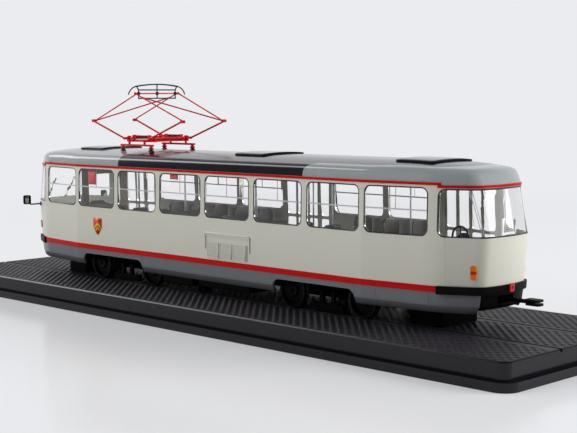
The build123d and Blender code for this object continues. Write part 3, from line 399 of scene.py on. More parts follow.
post_y = np.full(len(POST_X), WALL_Y + POST_PROUD)
post_low, post_top = (np.stack([POST_X, post_y, np.full(len(POST_X), z)], -1) for z in POST_Z)
piece("louvre_posts", *rods(post_low, post_top, POST_R), cream)

# Shield
# A printed film on the left wall under the second window: a plain shield with a gold edge and a gold
# and green chevron on red.
SHIELD_X, SHIELD_TOP_Z = 86.1 * MM, RAIL_Z + 34.5 * MM
SHIELD_SIZE = (8.0 * MM, 9.3 * MM)
SHIELD_EDGE, SHIELD_MIDDLE, SHIELD_POINT, SHIELD_ROUND, SHIELD_STEPS = 0.86, 0.42, 0.5, 0.6, 17
CHEVRON_SLOPE, CHEVRON_DROP, CHEVRON_HALF, CHEVRON_CORE = 0.75, -0.4 * MM, 1.9 * MM, 0.45 * MM
FILM, FILM_GAP = 0.04 * MM, 0.005 * MM


def film(outline, middle, inner, outer):
    """A thin closed plate on the left wall. Its outline is (x, z) points seen from outside.

    The outline is joined to a middle point on both faces: rows of middle, outline, outline, middle.
    """
    core = np.broadcast_to(middle, outline.shape)
    rows = [(core, inner), (outline, inner), (outline, outer), (core, outer)]
    points = np.stack([np.stack([p[:, 0], np.full(len(p), y), p[:, 1]], -1) for p, y in rows])
    return points, weave(4, len(outline), closed_columns=True)


# The outline: straight sides, and over the last half of its height a power curve to the point.
fall = np.linspace(0, 1, SHIELD_STEPS)
half = SHIELD_SIZE[0] / 2 * np.minimum(1, ((1 - fall) / SHIELD_POINT + 1e-9) ** SHIELD_ROUND)
shield_right = np.stack([SHIELD_X - half, SHIELD_TOP_Z - fall * SHIELD_SIZE[1]], -1)
shield_left = np.stack([SHIELD_X + half, SHIELD_TOP_Z - fall * SHIELD_SIZE[1]], -1)[-2::-1]
shield = np.concatenate([shield_right, shield_left])[::-1]
shield_middle = np.array([SHIELD_X, SHIELD_TOP_Z - SHIELD_MIDDLE * SHIELD_SIZE[1]])
# Gold ink: a flat orange yellow under the same clear lacquer as the field.
gold = enamel("gold printed film", "#d98a1c", "#de9122", 0.34)
piece("shield_edge", *film(shield, shield_middle, WALL_Y + FILM_GAP, WALL_Y + FILM), gold)
# Printed film: flat even inks with hard borders under a thin clear lacquer.
shield_film, output, place = start("red printed film")
origin = (SHIELD_X, 0, shield_middle[1])
spot = vector(shield_film, "SUBTRACT", place, origin)
parts = add(shield_film, "SeparateXYZ", {"Vector": spot})
spread = calc(shield_film, "ABSOLUTE", parts.outputs["X"])
peak = calc(shield_film, "MULTIPLY_ADD", spread, CHEVRON_SLOPE, parts.outputs["Z"])
lift = calc(shield_film, "SUBTRACT", peak, CHEVRON_DROP)
away = calc(shield_film, "ABSOLUTE", lift)
chevron = calc(shield_film, "LESS_THAN", away, CHEVRON_HALF)
core = calc(shield_film, "LESS_THAN", away, CHEVRON_CORE)
red_and_gold = blend(shield_film, chevron, "#cf1612", "#eaa81c")
two_tone(shield_film, output, core, red_and_gold, "#3f5a2c", Roughness=0.34, IOR=1.5)
field = shield_middle + (shield - shield_middle) * SHIELD_EDGE
piece("shield_field", *film(field, shield_middle, WALL_Y + FILM_GAP, WALL_Y + 2 * FILM), shield_film)

# Belt, gutter and bumpers
# A red moulding runs along the sole of the walls and another along the eaves. Black bumpers carry
# the belt round the ends, each with a red jumper socket in its middle.
SOCKET_HOLE_R = 0.85 * MM
SOCKET_MIDDLE = (0, 0, np.mean(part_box("jumper_sockets"), axis=0)[2])
# Red enamel: a full, slightly cold red that stays deep because it mirrors little of the table.
red = enamel("red satin enamel", "#bd0b10", "#c20e13", 0.34, 0.1)
paint(red, "belt_rail", "gutter_rail")
paint(under_black, "bumper_front", "bumper_rear")
# Red ABS with a black mouth: the socket's bore is dark all through.
socket_red, output, place = start("red ABS with a dark bore")
offset = vector(socket_red, "SUBTRACT", place, SOCKET_MIDDLE)
flat = vector(socket_red, "MULTIPLY", offset, (0, 1, 1))
radius = vector(socket_red, "LENGTH", flat)
bore = calc(socket_red, "LESS_THAN", radius, SOCKET_HOLE_R)
paint(two_tone(socket_red, output, bore, "#c8201f", "#2a0e0f", Roughness=0.32, IOR=1.54), "jumper_sockets")

# Glazing
# Side panes and the wrapped windscreens are clear polystyrene, moulded 0.8 mm thick and pressed into
# the openings from inside. The moulding is a little wavy, which draws upright streaks in it.
WAVE, WAVE_STRETCH, WAVE_DEPTH = 5 * MM, (1, 1, 0.07), 0.1 * MM
# Clear polystyrene: sharp reflections, slightly bent views, and lamps shine through it.
glass, output, place = start("clear polystyrene")
stretch = add(glass, "Mapping", {"Vector": place, "Scale": WAVE_STRETCH}).outputs["Vector"]
relief = bump(glass, noise(glass, stretch, WAVE, 1.0), WAVE_DEPTH)
sockets = {"Roughness": 0.01, "IOR": 1.3, "Transmission Weight": 1.0, "Normal": relief}
shader = add(glass, "BsdfPrincipled", {"Base Color": linear("#ffffff"), **sockets})
through = add(glass, "BsdfTransparent", {"Color": linear("#fcfdfd")})
rays = add(glass, "LightPath").outputs
lit = calc(glass, "MAXIMUM", rays["Is Shadow Ray"], rays["Is Diffuse Ray"])
window = add(glass, "MixShader", {0: lit, 1: shader.outputs[0], 2: through.outputs[0]})
paint(close(glass, output, window), "windscreen_front", "windscreen_rear", "glazing_left", "glazing_right")

# Window rubbers
# A black rubber bead lies round every opening in the side walls and hides the edge of the pane. It is
# pressed on, and stands a little proud of the paint.
SILL_Z, WINDOW_TOP_Z, EAVES_Z = RAIL_Z + np.array([40.4, 60.5, 62.9]) * MM
BAY_PITCH, WINDOW_WIDTH, END_WINDOW = 34.88 * MM, 31.4 * MM, (106.0 * MM, 137.8 * MM)
WINDOW_CORNER = 3.0 * MM
SILL_HALF, EAVES_HALF = 29.07 * MM, 28.5 * MM
TAPER_X, TAPER = 104.65 * MM, 4.4 / 37.35
BEAD_HALF, BEAD_PROUD, BEAD_SUNK, BEAD_SIDES = 0.34 * MM, 0.22 * MM, 0.12 * MM, 8


def wall_face(x, z):
    """Half width of the body at a point of its side.

    It leans in evenly from the sill to the eaves and tapers evenly towards the ends.
    """
    lean = (SILL_HALF - EAVES_HALF) * np.clip((z - SILL_Z) / (EAVES_Z - SILL_Z), 0, 1)
    return SILL_HALF - lean - TAPER * np.maximum(np.abs(x) - TAPER_X, 0)


def round_corners(half_x, half_z, corner, steps=9):
    """Rounded rectangles about the origin, with a quarter circle on each inset corner.

    Gives the points and their outward normals.
    """
    turn = (np.arange(4)[:, None] * math.pi / 2 + np.linspace(0, math.pi / 2, steps)).ravel()
    normal = np.stack([np.cos(turn), np.sin(turn)], -1)
    corner_x = np.multiply.outer(half_x - corner, np.repeat([1, -1, -1, 1], steps))
    corner_z = np.multiply.outer(half_z - corner, np.repeat([1, 1, -1, -1], steps))
    return np.stack([corner_x, corner_z], -1) + corner * normal, normal


def rubber_rings(middle_x, half_x, side):
    """Beads round windows of one side: an ellipse carried along each rounded outline on the wall."""
    half_z = np.full(len(half_x), (WINDOW_TOP_Z - SILL_Z) / 2)
    outline, normal = round_corners(half_x, half_z, WINDOW_CORNER)
    turn = around(BEAD_SIDES)
    reach = (BEAD_HALF * np.cos(turn))[:, None] * normal[:, None]
    x = middle_x[:, None, None] + outline[..., 0, None] + reach[..., 0]
    z = (SILL_Z + WINDOW_TOP_Z) / 2 + outline[..., 1, None] + reach[..., 1]
    y = side * (wall_face(x, z) - BEAD_SUNK) + BEAD_PROUD * np.sin(turn)
    points = np.stack([x, y, z], -1)
    quads = weave(points.shape[1], BEAD_SIDES, True, True)
    return points, repeat(quads, len(points), points.shape[1] * BEAD_SIDES)


bays = BAY_PITCH * (2.5 - np.arange(6))
end_middle, end_half = np.mean(END_WINDOW), np.ptp(END_WINDOW) / 2
window_x = np.concatenate([[end_middle], bays, [-end_middle]])
window_half = np.concatenate([[end_half], np.full(6, WINDOW_WIDTH / 2), [end_half]])
LEFT_WINDOWS, RIGHT_WINDOWS = list(range(8)), [1, 2, 3, 5, 6]
# Rubber: near black, smooth, with a soft grey highlight along the bead.
rubber = moulded("black rubber", "#2c2d2f", "#37383a", 0.3, 0.4, 0.002, IOR=1.52)
for name, side, chosen in (("rubbers_left", 1, LEFT_WINDOWS), ("rubbers_right", -1, RIGHT_WINDOWS)):
    piece(name, *rubber_rings(window_x[chosen], window_half[chosen], side), rubber)

# Vent bars
# Each side window has a silver bar across its middle, moulded on the pane, and the vent above it
# slides in two halves that meet at a thin upright.
BAR_TOP_Z, VENT_TOP_Z = RAIL_Z + 51.3 * MM, WINDOW_TOP_Z - 0.2 * MM
VENT_R, VENT_IN = 0.16 * MM, 0.2 * MM
# Silver paint: a pale grey with fine metal flakes, nearly white where it meets the light.
silver = moulded("silver paint", "#c6c8ca", "#d2d4d6", 0.36, 0.3, 0.002, Metallic=0.2)
paint(silver, "window_bars")
vent_x = window_x[LEFT_WINDOWS[1:] + RIGHT_WINDOWS]
vent_side = np.repeat([1, -1], [len(LEFT_WINDOWS) - 1, len(RIGHT_WINDOWS)])
vent_low, vent_top = (
    np.stack([vent_x, vent_side * (wall_face(vent_x, z) - VENT_IN), np.full(len(vent_x), z)], -1)
    for z in (BAR_TOP_Z, VENT_TOP_Z)
)
piece("vent_bars", *rods(vent_low, vent_top, VENT_R), silver)

# Route plates
# Two red plates stand inside the left panes: a square one in the second window and a small one high
# in the fourth. Both are blank printed card.
PLATE_THICK, PLATE_IN = 0.3 * MM, 1.2 * MM
# Printed card: an even, slightly chalky red.
plate_red = enamel("red printed card", "#c61f26", "#cb252c", 0.4)
for name, x, z, plate_corner in (
    ("route_plate", (88.8, 95.7), (52.2, 59.4), 0.5),
    ("notice_plate", (20.0, 26.0), (57.7, 60.2), 0.3),
):
    x, z = np.array(x) * MM, RAIL_Z + np.array(z) * MM
    outline, _ = round_corners(np.array([np.ptp(x) / 2]), np.array([np.ptp(z) / 2]), plate_corner * MM)
    middle = np.array([x.mean(), z.mean()])
    pane_y = wall_face(middle[0], z.max()) - PLATE_IN
    piece(name, *film((middle + outline[0])[::-1], middle, pane_y - PLATE_THICK, pane_y), plate_red)

# Windscreen rubbers and pillars
# A rubber bead runs round each wrapped windscreen, and two thin silver lines mark the folded corner
# of the pane on both sides.
SPLIT_X, KNEE_X, KNEE_IN, KNEE_R = 142.4 * MM, 142.0 * MM, 4.4 * MM, 30.0 * MM
END_HALF, END_BOW, CORNER_R = 16.0 * MM, 2.4 * MM, 8.0 * MM
END_LEVELS = RAIL_Z + np.array([17.2, 40.4, 62.9]) * MM
END_HALF_WIDTHS = np.array([29.07, 29.07, 28.5]) * MM
END_HALF_LENGTHS = np.array([161.0, 162.8, 158.6]) * MM
HEADER_Z = RAIL_Z + 60.0 * MM
PLAN_SHARES, BOW_STEPS = np.linspace(0, 1.05, 169), 12
SKIN_STEP, BEAD_POINTS = 0.004, 260
LINE_R, LINE_IN, LINE_SHORT = 0.17 * MM, 0.25 * MM, 0.2 * MM
LINE_APART, LINE_LEAN = np.array([0.5, -0.5]) * MM, np.array([[-0.4], [2.4]]) * MM


def unit(way):
    """The vector of length one along the given one."""
    return way / np.linalg.norm(way)


def bend(corner, before, after, radius, steps=12):
    """Points of the arc that touches both sides of a corner, turning evenly between the touches.

    Its centre lies on the corner's bisector, radius / sin(half angle) away.
    """
    one, other = unit(before - corner), unit(after - corner)
    half = math.acos(float(one @ other)) / 2
    middle = corner + unit(one + other) * radius / math.sin(half)
    first = corner + one * radius / math.tan(half) - middle
    last = corner + other * radius / math.tan(half) - middle
    turn, share = math.pi - 2 * half, np.linspace(0, 1, steps)[:, None]
    return middle + (np.sin((1 - share) * turn) * first + np.sin(share * turn) * last) / math.sin(turn)


def end_plan(half_width, half_length):
    """Half the plan of an end, from the nose to a little past the split line.

    It is a bow, a corner arc, a corner panel, a knee arc and the side. Gives points at even shares of
    the length, the length to the split line, and the share of it at which the corner lies.
    """
    bow_r = (END_HALF**2 + END_BOW**2) / (2 * END_BOW)
    corner, knee = np.array([half_length - END_BOW, END_HALF]), np.array([KNEE_X, half_width - KNEE_IN])
    tangent = np.array([END_HALF, END_BOW - bow_r])
    corner_arc = bend(corner, corner + tangent, knee, CORNER_R)
    knee_arc = bend(knee, corner, np.array([TAPER_X, half_width]), KNEE_R)
    bow_y = np.linspace(0, corner_arc[0, 1], BOW_STEPS)[:-1]
    bow = np.stack([half_length - bow_r + np.sqrt(bow_r**2 - bow_y**2), bow_y], -1)
    line = np.concatenate([bow, corner_arc, knee_arc, [[TAPER_X, half_width]]])
    run = np.concatenate([[0], np.cumsum(np.linalg.norm(np.diff(line, axis=0), axis=1))])
    length = np.interp(-SPLIT_X, -line[:, 0], run)
    even = PLAN_SHARES * length
    points = np.stack([np.interp(even, run, line[:, 0]), np.interp(even, run, line[:, 1])], -1)
    return points, length, run[len(bow) + len(corner_arc) // 2] / length


plans = [end_plan(*sizes) for sizes in zip(END_HALF_WIDTHS, END_HALF_LENGTHS)]


def end_face(share, z):
    """The front end's skin, with its three plans blended by height, as the ruled body is.

    The share runs from -1 at the right split line over 0 at the nose to 1 at the left one.
    """
    level = np.interp(z, END_LEVELS, np.arange(3))
    x = y = 0
    for number, (points, _, _) in enumerate(plans):
        weight = np.maximum(0, 1 - np.abs(level - number))
        x = x + weight * np.interp(np.abs(share), PLAN_SHARES, points[:, 0])
        y = y + weight * np.interp(np.abs(share), PLAN_SHARES, points[:, 1]) * np.sign(share)
    return x, y


def end_skin(share, z, out, end):
    """Points of the skin moved outwards along the plan's normal, for the front (1) or the rear (-1)."""
    x, y = end_face(share, z)
    ahead, aside = end_face(share + SKIN_STEP, z), end_face(share - SKIN_STEP, z)
    run_x, run_y = ahead[0] - aside[0], ahead[1] - aside[1]
    size = np.hypot(run_x, run_y)
    return np.stack([end * (x + out * run_y / size), y - out * run_x / size, z + 0 * x], -1)


def spaced(count, loop, *carried):
    """A closed outline again with points at equal steps of its length, and what its points carry."""
    lines = [np.concatenate([line, line[:1]]) for line in (loop, *carried)]
    run = np.concatenate([[0], np.cumsum(np.linalg.norm(np.diff(lines[0], axis=0), axis=1))])
    even = np.linspace(0, run[-1], count, endpoint=False)
    return [np.stack([np.interp(even, run, line[:, k]) for k in (0, 1)], -1) for line in lines]


screen_length = plans[1][1]
outline, normal = round_corners(
    np.array([screen_length]), np.array([(HEADER_Z - SILL_Z) / 2]), WINDOW_CORNER
)
loop, loop_normal = spaced(BEAD_POINTS, outline[0], normal)
turn = around(BEAD_SIDES)
reach = BEAD_HALF * np.cos(turn)
screen_share = (loop[:, :1] + reach * loop_normal[:, :1]) / screen_length
screen_z = (SILL_Z + HEADER_Z) / 2 + loop[:, 1:] + reach * loop_normal[:, 1:]
screen_out = BEAD_PROUD * np.sin(turn) - BEAD_SUNK + 0 * screen_share
ring_quads = weave(BEAD_POINTS, BEAD_SIDES, True, True)
pillar_share = np.array([np.interp(z, END_LEVELS, [p[2] for p in plans]) for z in (SILL_Z, HEADER_Z)])
line_share = pillar_share[:, None] + (LINE_LEAN + LINE_APART) / screen_length
line_share = np.concatenate([line_share, -line_share], 1)
for end_name, end in (("front", 1), ("rear", -1)):
    points = end_skin(screen_share, screen_z, screen_out, end)
    piece("rubber_" + end_name, points, ring_quads[:, ::-end], rubber)
    foot = end_skin(line_share[0], np.full_like(line_share[0], SILL_Z + LINE_SHORT), -LINE_IN, end)
    head = end_skin(line_share[1], np.full_like(line_share[1], HEADER_Z - LINE_SHORT), -LINE_IN, end)
    piece("screen_lines_" + end_name, *rods(foot, head, LINE_R), silver)

# Saloon
# The floor, seats and desk are one colour of unpainted ABS under the glass, and the partition is brown.
# The poles are wire, the driver's wheel is black, and a pale wire frame stands behind the rear screen.
# Taupe and brown ABS: dull warm tones that sink into the shade of the roof.
taupe = moulded("taupe ABS", "#3a3734", "#45413d", 0.5, 0.4, 0.006, IOR=1.54)
brown = moulded("brown ABS", "#64513f", "#6d5a47", 0.48, 0.4, 0.006, IOR=1.54)
# Nickel-plated wire: grey lines with a bright thread along them.
pole_steel = moulded("nickel-plated wire", "#a3a5a8", "#b0b2b5", 0.3, 0.3, 0.002, Metallic=0.85)
# White painted wire: an even white that shows against the dark seats.
frame_white = enamel("white painted wire", "#dcdddd", "#e3e4e4", 0.34)
paint(taupe, "saloon_floor", "seats", "driver_desk")
paint(brown, "cab_partition")
paint(pole_steel, "grab_poles")
paint(under_black, "hand_wheel")
paint(frame_white, "rear_rail")

# Roof
# One moulding sprayed pale grey, then black over its middle: straight across near the front, and at
# the rear running on as a strip with a round end, between two grey shoulders. It falls off at the ends.
BLACK_FRONT_X, SHOULDER_X, STRIP_END_X = 68 * MM, -68 * MM, -147.5 * MM
STRIP_HALF, SHOULDER_R, STRIP_END_R = 22.6 * MM, 9 * MM, 14 * MM
TAPER_RUN = 50 * MM
ROOF_Z, CAMBER_R = RAIL_Z + 70.93 * MM, 190 * MM
FALL_X, FALL_RUN, FALL = 116 * MM, 40 * MM, 2.8 * MM
SIDE_Y, SIDE_RUN, SIDE_FALL = 8 * MM, 18 * MM, 1.4 * MM
FALL_FOOT_Z = RAIL_Z + 63.2 * MM
END_CUT, SIDE_CUT, BOX_CUTS = 2.5 * MM, 2 * MM, np.array([154, 157]) * MM
CUT_CLOSE, SHARP_ANGLE = 1e-8, 0.6
# Two enamels with a masked edge: cool pale grey, and a blue-black that looks pale at a low angle.
roof_paint, output, place = start("grey and black satin enamel")
parts = add(roof_paint, "SeparateXYZ", {"Vector": place})
roof_x, roof_y = parts.outputs["X"], parts.outputs["Y"]
rearward = calc(roof_paint, "ADD", SHOULDER_R - SHOULDER_X, roof_x)
spread = calc(roof_paint, "ABSOLUTE", roof_y)
taper = ramp(roof_paint, roof_x, TAPER * TAPER_RUN, 0, -TAPER_X - TAPER_RUN, -TAPER_X)
spread = calc(roof_paint, "ADD", spread, taper)
inward = calc(roof_paint, "SUBTRACT", STRIP_HALF + SHOULDER_R, spread)
over_x = calc(roof_paint, "SUBTRACT", STRIP_END_X + STRIP_END_R, roof_x)
over_y = calc(roof_paint, "SUBTRACT", spread, STRIP_HALF - STRIP_END_R)
# Both round corners: how far a point lies past the corner's centre, counted only outwards.
corner_ways = []
for way_x, way_y in ((rearward, inward), (over_x, over_y)):
    way = add(roof_paint, "CombineXYZ", {"X": way_x, "Y": way_y}).outputs["Vector"]
    way = vector(roof_paint, "MAXIMUM", way, (0, 0, 0))
    corner_ways.append(vector(roof_paint, "LENGTH", way))
shoulder = calc(roof_paint, "LESS_THAN", corner_ways[0], SHOULDER_R)
past_end = calc(roof_paint, "GREATER_THAN", corner_ways[1], STRIP_END_R)
front = calc(roof_paint, "GREATER_THAN", roof_x, BLACK_FRONT_X)
behind = calc(roof_paint, "LESS_THAN", roof_x, SHOULDER_X - SHOULDER_R)
tail = calc(roof_paint, "MULTIPLY", past_end, behind)
ends = calc(roof_paint, "MAXIMUM", front, tail)
grey = calc(roof_paint, "MAXIMUM", ends, shoulder)
peel = noise(roof_paint, place, PEEL_MM * MM, 2.0)
gloss, relief = ramp(roof_paint, peel, 0.1, 0.16), bump(roof_paint, peel, PEEL_RELIEF_MM * MM)
sockets = {"Roughness": gloss, "IOR": 1.5, "Normal": relief}
two_tone(roof_paint, output, grey, "#24242a", "#9ca2a3", **sockets)
# Pale grey enamel: the roof's own grey, on the box over the front screen.
roof_grey = enamel("pale grey satin enamel", "#9ba1a2", "#9fa5a6", 0.28)


def roof_fall(x, y):
    """How far the top drops below the camber: a parabola to each end and a smaller one to each side."""
    towards_end = np.maximum(np.abs(x) - FALL_X, 0) / FALL_RUN
    towards_side = np.maximum(np.abs(y) - SIDE_Y, 0) / SIDE_RUN
    return FALL * towards_end**2 + SIDE_FALL * towards_side**2


def lowered(node, cuts, material):
    """A merged copy of a CAD mesh, cut by planes at the given x and y and let down by the roof's fall.

    A point goes down by its share of the height between the eaves and the top.
    """
    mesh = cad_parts[node].data.copy()
    mesh.name = node + "_fallen"
    bent = bmesh.new()
    bent.from_mesh(mesh)
    bmesh.ops.remove_doubles(bent, verts=bent.verts, dist=MERGE)
    for way, places in zip(((1, 0, 0), (0, 1, 0)), cuts):
        for place in places:
            whole = [*bent.verts, *bent.edges, *bent.faces]
            spot = np.multiply(way, place)
            bmesh.ops.bisect_plane(bent, geom=whole, dist=CUT_CLOSE, plane_co=spot, plane_no=way)
    bmesh.ops.triangulate(bent, faces=[face for face in bent.faces if len(face.verts) > 4])
    bent.to_mesh(mesh)
    bent.free()
    points = np.empty(len(mesh.vertices) * 3)
    mesh.vertices.foreach_get("co", points)
    points = points.reshape(-1, 3)
    share = np.clip((points[:, 2] - FALL_FOOT_Z) / (ROOF_Z - FALL_FOOT_Z), 0, 1)
    points[:, 2] -= share * roof_fall(points[:, 0], points[:, 1])
    mesh.vertices.foreach_set("co", points.ravel())
    mesh.polygons.foreach_set("use_smooth", np.ones(len(mesh.polygons), bool))
    mesh.set_sharp_from_angle(angle=SHARP_ANGLE)
    mesh.materials.clear()
    mesh.materials.append(material)
    made = link(node + "_fallen", mesh)
    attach(made, "tram")
    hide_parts(node)


# The cuts run half a step past the ends of the fall, so that the last one is among them.
end_cuts = np.arange(FALL_X, FALL_X + FALL_RUN + END_CUT / 2, END_CUT)
side_cuts = np.arange(SIDE_Y, SIDE_Y + SIDE_RUN + SIDE_CUT / 2, SIDE_CUT)
lowered("roof", ([*end_cuts, *-end_cuts], [*side_cuts, *-side_cuts]), roof_paint)
lowered("destination_box", (BOX_CUTS, [-SIDE_Y, SIDE_Y]), roof_grey)

# Hatches
# Three black plates lie on the roof and follow its camber. They are screwed on from inside, so that
# only their plain tops and edges show.
HATCHES = np.array([[100.5, 121.6], [-28.2, -7.3], [-131.8, -111.0]]) * MM
HATCH_HALF, HATCH_THICK, HATCH_SUNK, HATCH_CORNER = 14.1 * MM, 0.9 * MM, 0.25 * MM, 0.6 * MM
HATCH_POINTS = 96
HATCH_SHARES = np.array([0, 0.25, 0.5, 0.75, 0.985, 1, 1, 0.75, 0.5, 0.25, 0])[:, None]
HATCH_LIFTS = np.array([1, 1, 1, 1, 1, 0.88, 0, 0, 0, 0, 0])[:, None]


def hatch(ends):
    """A plate on the roof: rings of a rounded rectangle, shrunk to its middle on both faces.

    Each point is lifted to the camber and the fall at its place.
    """
    outline = round_corners(np.array([np.ptp(ends) / 2]), np.array([HATCH_HALF]), HATCH_CORNER)[0][0]
    loop = spaced(HATCH_POINTS, outline)[0]
    x, y = np.mean(ends) + HATCH_SHARES * loop[:, 0], HATCH_SHARES * loop[:, 1]
    z = ROOF_Z - CAMBER_R + np.sqrt(CAMBER_R**2 - y**2) - roof_fall(x, y)
    return np.stack([x, y, z - HATCH_SUNK + HATCH_LIFTS * (HATCH_THICK + HATCH_SUNK)], -1)


# Black gloss enamel: blacker and smoother than the roof, with clear mirror images at a low angle.
hatch_black = enamel("black gloss enamel", "#18171c", "#1d1c21", 0.1)
hatch_points = np.array([hatch(ends) for ends in HATCHES])
hatch_quads = weave(len(HATCH_SHARES), HATCH_POINTS, closed_columns=True)[:, ::-1]
hatch_quads = repeat(hatch_quads, len(HATCHES), len(HATCH_SHARES) * HATCH_POINTS)
plates = piece("hatch_plates", hatch_points, hatch_quads, hatch_black)
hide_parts("roof_hatches")

# Lamps
# The lamps are tinted clear ABS pressed into the panels: amber turn lamps in front, amber tail lamps
# with a red middle behind, and round headlamps with bright rims.
TAIL_MIDDLE_Z = np.mean(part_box("tail_lamps"), axis=0)[2]
TAIL_BAND = (0.4 * MM, 0.9 * MM)
HEADLAMP_Y, HEADLAMP_Z, HEADLAMP_R = 10.8 * MM, RAIL_Z + 26.6 * MM, 2.5 * MM
RIM_R, RIM_OUT, RIM_STEPS, RIM_SIDES = 0.3 * MM, 0.45 * MM, 40, 10
# Tinted lens: saturated, glossy, with a red band across its middle third.
tail_lens, output, place = start("amber and red tinted lens")
height = add(tail_lens, "SeparateXYZ", {"Vector": place}).outputs["Z"]
middle = calc(tail_lens, "SUBTRACT", height, TAIL_MIDDLE_Z)
away = calc(tail_lens, "ABSOLUTE", middle)
band = ramp(tail_lens, away, 1, 0, *TAIL_BAND)
sockets = {"Roughness": 0.2, "IOR": 1.5, "Specular IOR Level": 0.15}
paint(two_tone(tail_lens, output, band, "#e37c0c", "#b81c08", **sockets), "tail_lamps")
# Amber lens: a clear warm orange with a small sharp highlight.
amber = moulded("amber tinted lens", "#dd7a1c", "#e28526", 0.2, 0.4, 0.002, IOR=1.5)
paint(amber, "turn_lamps")
# Lamp glass: nearly white and glossy, with a fine rib that breaks the highlight.
clear_lens = moulded("ribbed lamp glass", "#d5d7d6", "#e3e5e4", 0.14, 0.5, 0.01, IOR=1.5)
paint(clear_lens, "headlamps")
# Chrome plating: a bright ring that shows the room.
chrome = moulded("chrome plating", "#c4c6c9", "#cfd1d4", 0.16, 0.4, 0.001, Metallic=1.0)
round_turn, tube_turn = around(RIM_STEPS)[:, None], around(RIM_SIDES)
ring = HEADLAMP_R + RIM_R * np.cos(tube_turn)
rim_z = HEADLAMP_Z + ring * np.sin(round_turn)
rim_out = RIM_OUT + RIM_R * np.sin(tube_turn) + 0 * round_turn
rim_share = [(side * HEADLAMP_Y + ring * np.cos(round_turn)) / screen_length for side in (1, -1)]
rim_points = np.array([end_skin(share, rim_z, rim_out, 1) for share in rim_share])
rim_quads = repeat(weave(RIM_STEPS, RIM_SIDES, True, True)[:, ::-1], 2, RIM_STEPS * RIM_SIDES)
piece("headlamp_rims", rim_points, rim_quads, chrome)

# Mirrors and wipers
# Black wire and ABS with a slip of silvered glass in each mirror, facing back along the side. They are
# pressed into small holes beside the front screen.
MIRROR_X, MIRROR_Y, MIRROR_Z = 155.45 * MM, 27.4 * MM, RAIL_Z + 40.6 * MM
MIRROR_HALF, MIRROR_CORNER, MIRROR_THICK = (1.6 * MM, 2.1 * MM), 0.5 * MM, 0.1 * MM
paint(under_black, "mirror_left", "mirror_right", "wipers")
# Silvered glass: a sharp, slightly greenish image of the room.
silvered = moulded("silvered glass", "#9ea197", "#a5a89e", 0.12, 2.0, 0.001, Metallic=0.9)
outline, _ = round_corners(np.array([MIRROR_HALF[0]]), np.array([MIRROR_HALF[1]]), MIRROR_CORNER)
slip, quads = film(outline[0], np.zeros(2), 0.0, MIRROR_THICK)
slip = np.stack([-slip[..., 1], slip[..., 0], slip[..., 2]], -1)
for name, side in (("mirror_glass_left", 1), ("mirror_glass_right", -1)):
    piece(name, slip + np.array([MIRROR_X, side * MIRROR_Y, MIRROR_Z]), quads[:, ::-1], silvered)

# Pantograph
# Two folding frames of soldered wire on a red base, with a black collector head. The base stands on
# dark insulators, and two coil springs lie over its side beams.
FOOT_Z = RAIL_Z + 71.7 * MM
COIL_HALF, COIL_R, TURNS, COIL_STEPS = 4.9 * MM, 0.64 * MM, 22, 330
COIL_END, COIL_TIGHT = 0.04, 0.45
HOOK_R, HOOK_TURN, HOOK_STEPS = 0.8 * MM, 0.85 * math.pi, 20
WIRE_R, WIRE_SIDES, SPRING_R = 0.16 * MM, 6, 0.8 * MM
spring_low, spring_high = np.array(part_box("pantograph_springs"))
SPRING_MIDDLE = (spring_low + spring_high) / 2
# Pantograph enamel: a brighter red than the belt's, glossy enough for a thread of light on each tube.
panto_red = enamel("pantograph red enamel", "#cd0f18", "#d4141d", 0.3)
paint(panto_red, "pantograph_base", "lower_frame_front", "lower_frame_rear")
paint(panto_red, "upper_frame_front", "upper_frame_rear")
# Dark ABS: a cool charcoal, a little glossy.
panto_dark = moulded("dark grey ABS", "#232428", "#2b2c31", 0.42, 0.3, 0.003, IOR=1.54)
paint(panto_dark, "collector_head")
# Dipped enamel: each foot is red down to a straight line and bare dark ABS below it.
foot_dip, output, place = start("red enamel over dark ABS")
height = add(foot_dip, "SeparateXYZ", {"Vector": place}).outputs["Z"]
dipped = calc(foot_dip, "GREATER_THAN", height, FOOT_Z)
dip = two_tone(foot_dip, output, dipped, "#1c1d20", "#cd0f18", Roughness=0.38, IOR=1.5)
paint(dip, "pantograph_insulators")


def wire(line, outward, aside):
    """Round wire about a line: rings in the plane of two unit vectors, closed to points at both ends."""
    turn = around(WIRE_SIDES)[:, None]
    radius = np.full((len(line), 1, 1), WIRE_R)
    radius[[0, -1]] = 0
    return line[:, None] + radius * (np.cos(turn) * outward[:, None] + np.sin(turn) * aside[:, None])


def coil(y):
    """A coil spring along x, about the line (x, R cos a, R sin a), whose R shrinks at both ends."""
    share = np.linspace(0, 1, COIL_STEPS)
    angle = math.tau * TURNS * share
    open_share = np.clip(np.minimum(share, 1 - share) / COIL_END, 0, 1)
    spread = COIL_R * (COIL_TIGHT + (1 - COIL_TIGHT) * open_share)
    radial = np.stack([0 * angle, np.cos(angle), np.sin(angle)], -1)
    line = spread[:, None] * radial
    line[:, 0] = COIL_HALF * (2 * share - 1)
    way = np.gradient(line, axis=0)
    way /= np.linalg.norm(way, axis=1, keepdims=True)
    return wire(line, radial, np.cross(way, radial)) + np.array([SPRING_MIDDLE[0], y, SPRING_MIDDLE[2]])


def hook(y, end):
    """The open ring at a spring's end: wire about an arc in the upright plane, for either end."""
    angle = np.linspace(-HOOK_TURN, HOOK_TURN, HOOK_STEPS)
    radial = np.stack([np.cos(angle), 0 * angle, np.sin(angle)], -1)
    points = wire(HOOK_R * radial, radial, np.broadcast_to([0.0, 1.0, 0.0], radial.shape))
    points[..., 0] = end * (COIL_HALF + HOOK_R + points[..., 0])
    return points + np.array([SPRING_MIDDLE[0], y, SPRING_MIDDLE[2]])


beams = (spring_high[1] - SPRING_R, spring_low[1] + SPRING_R)
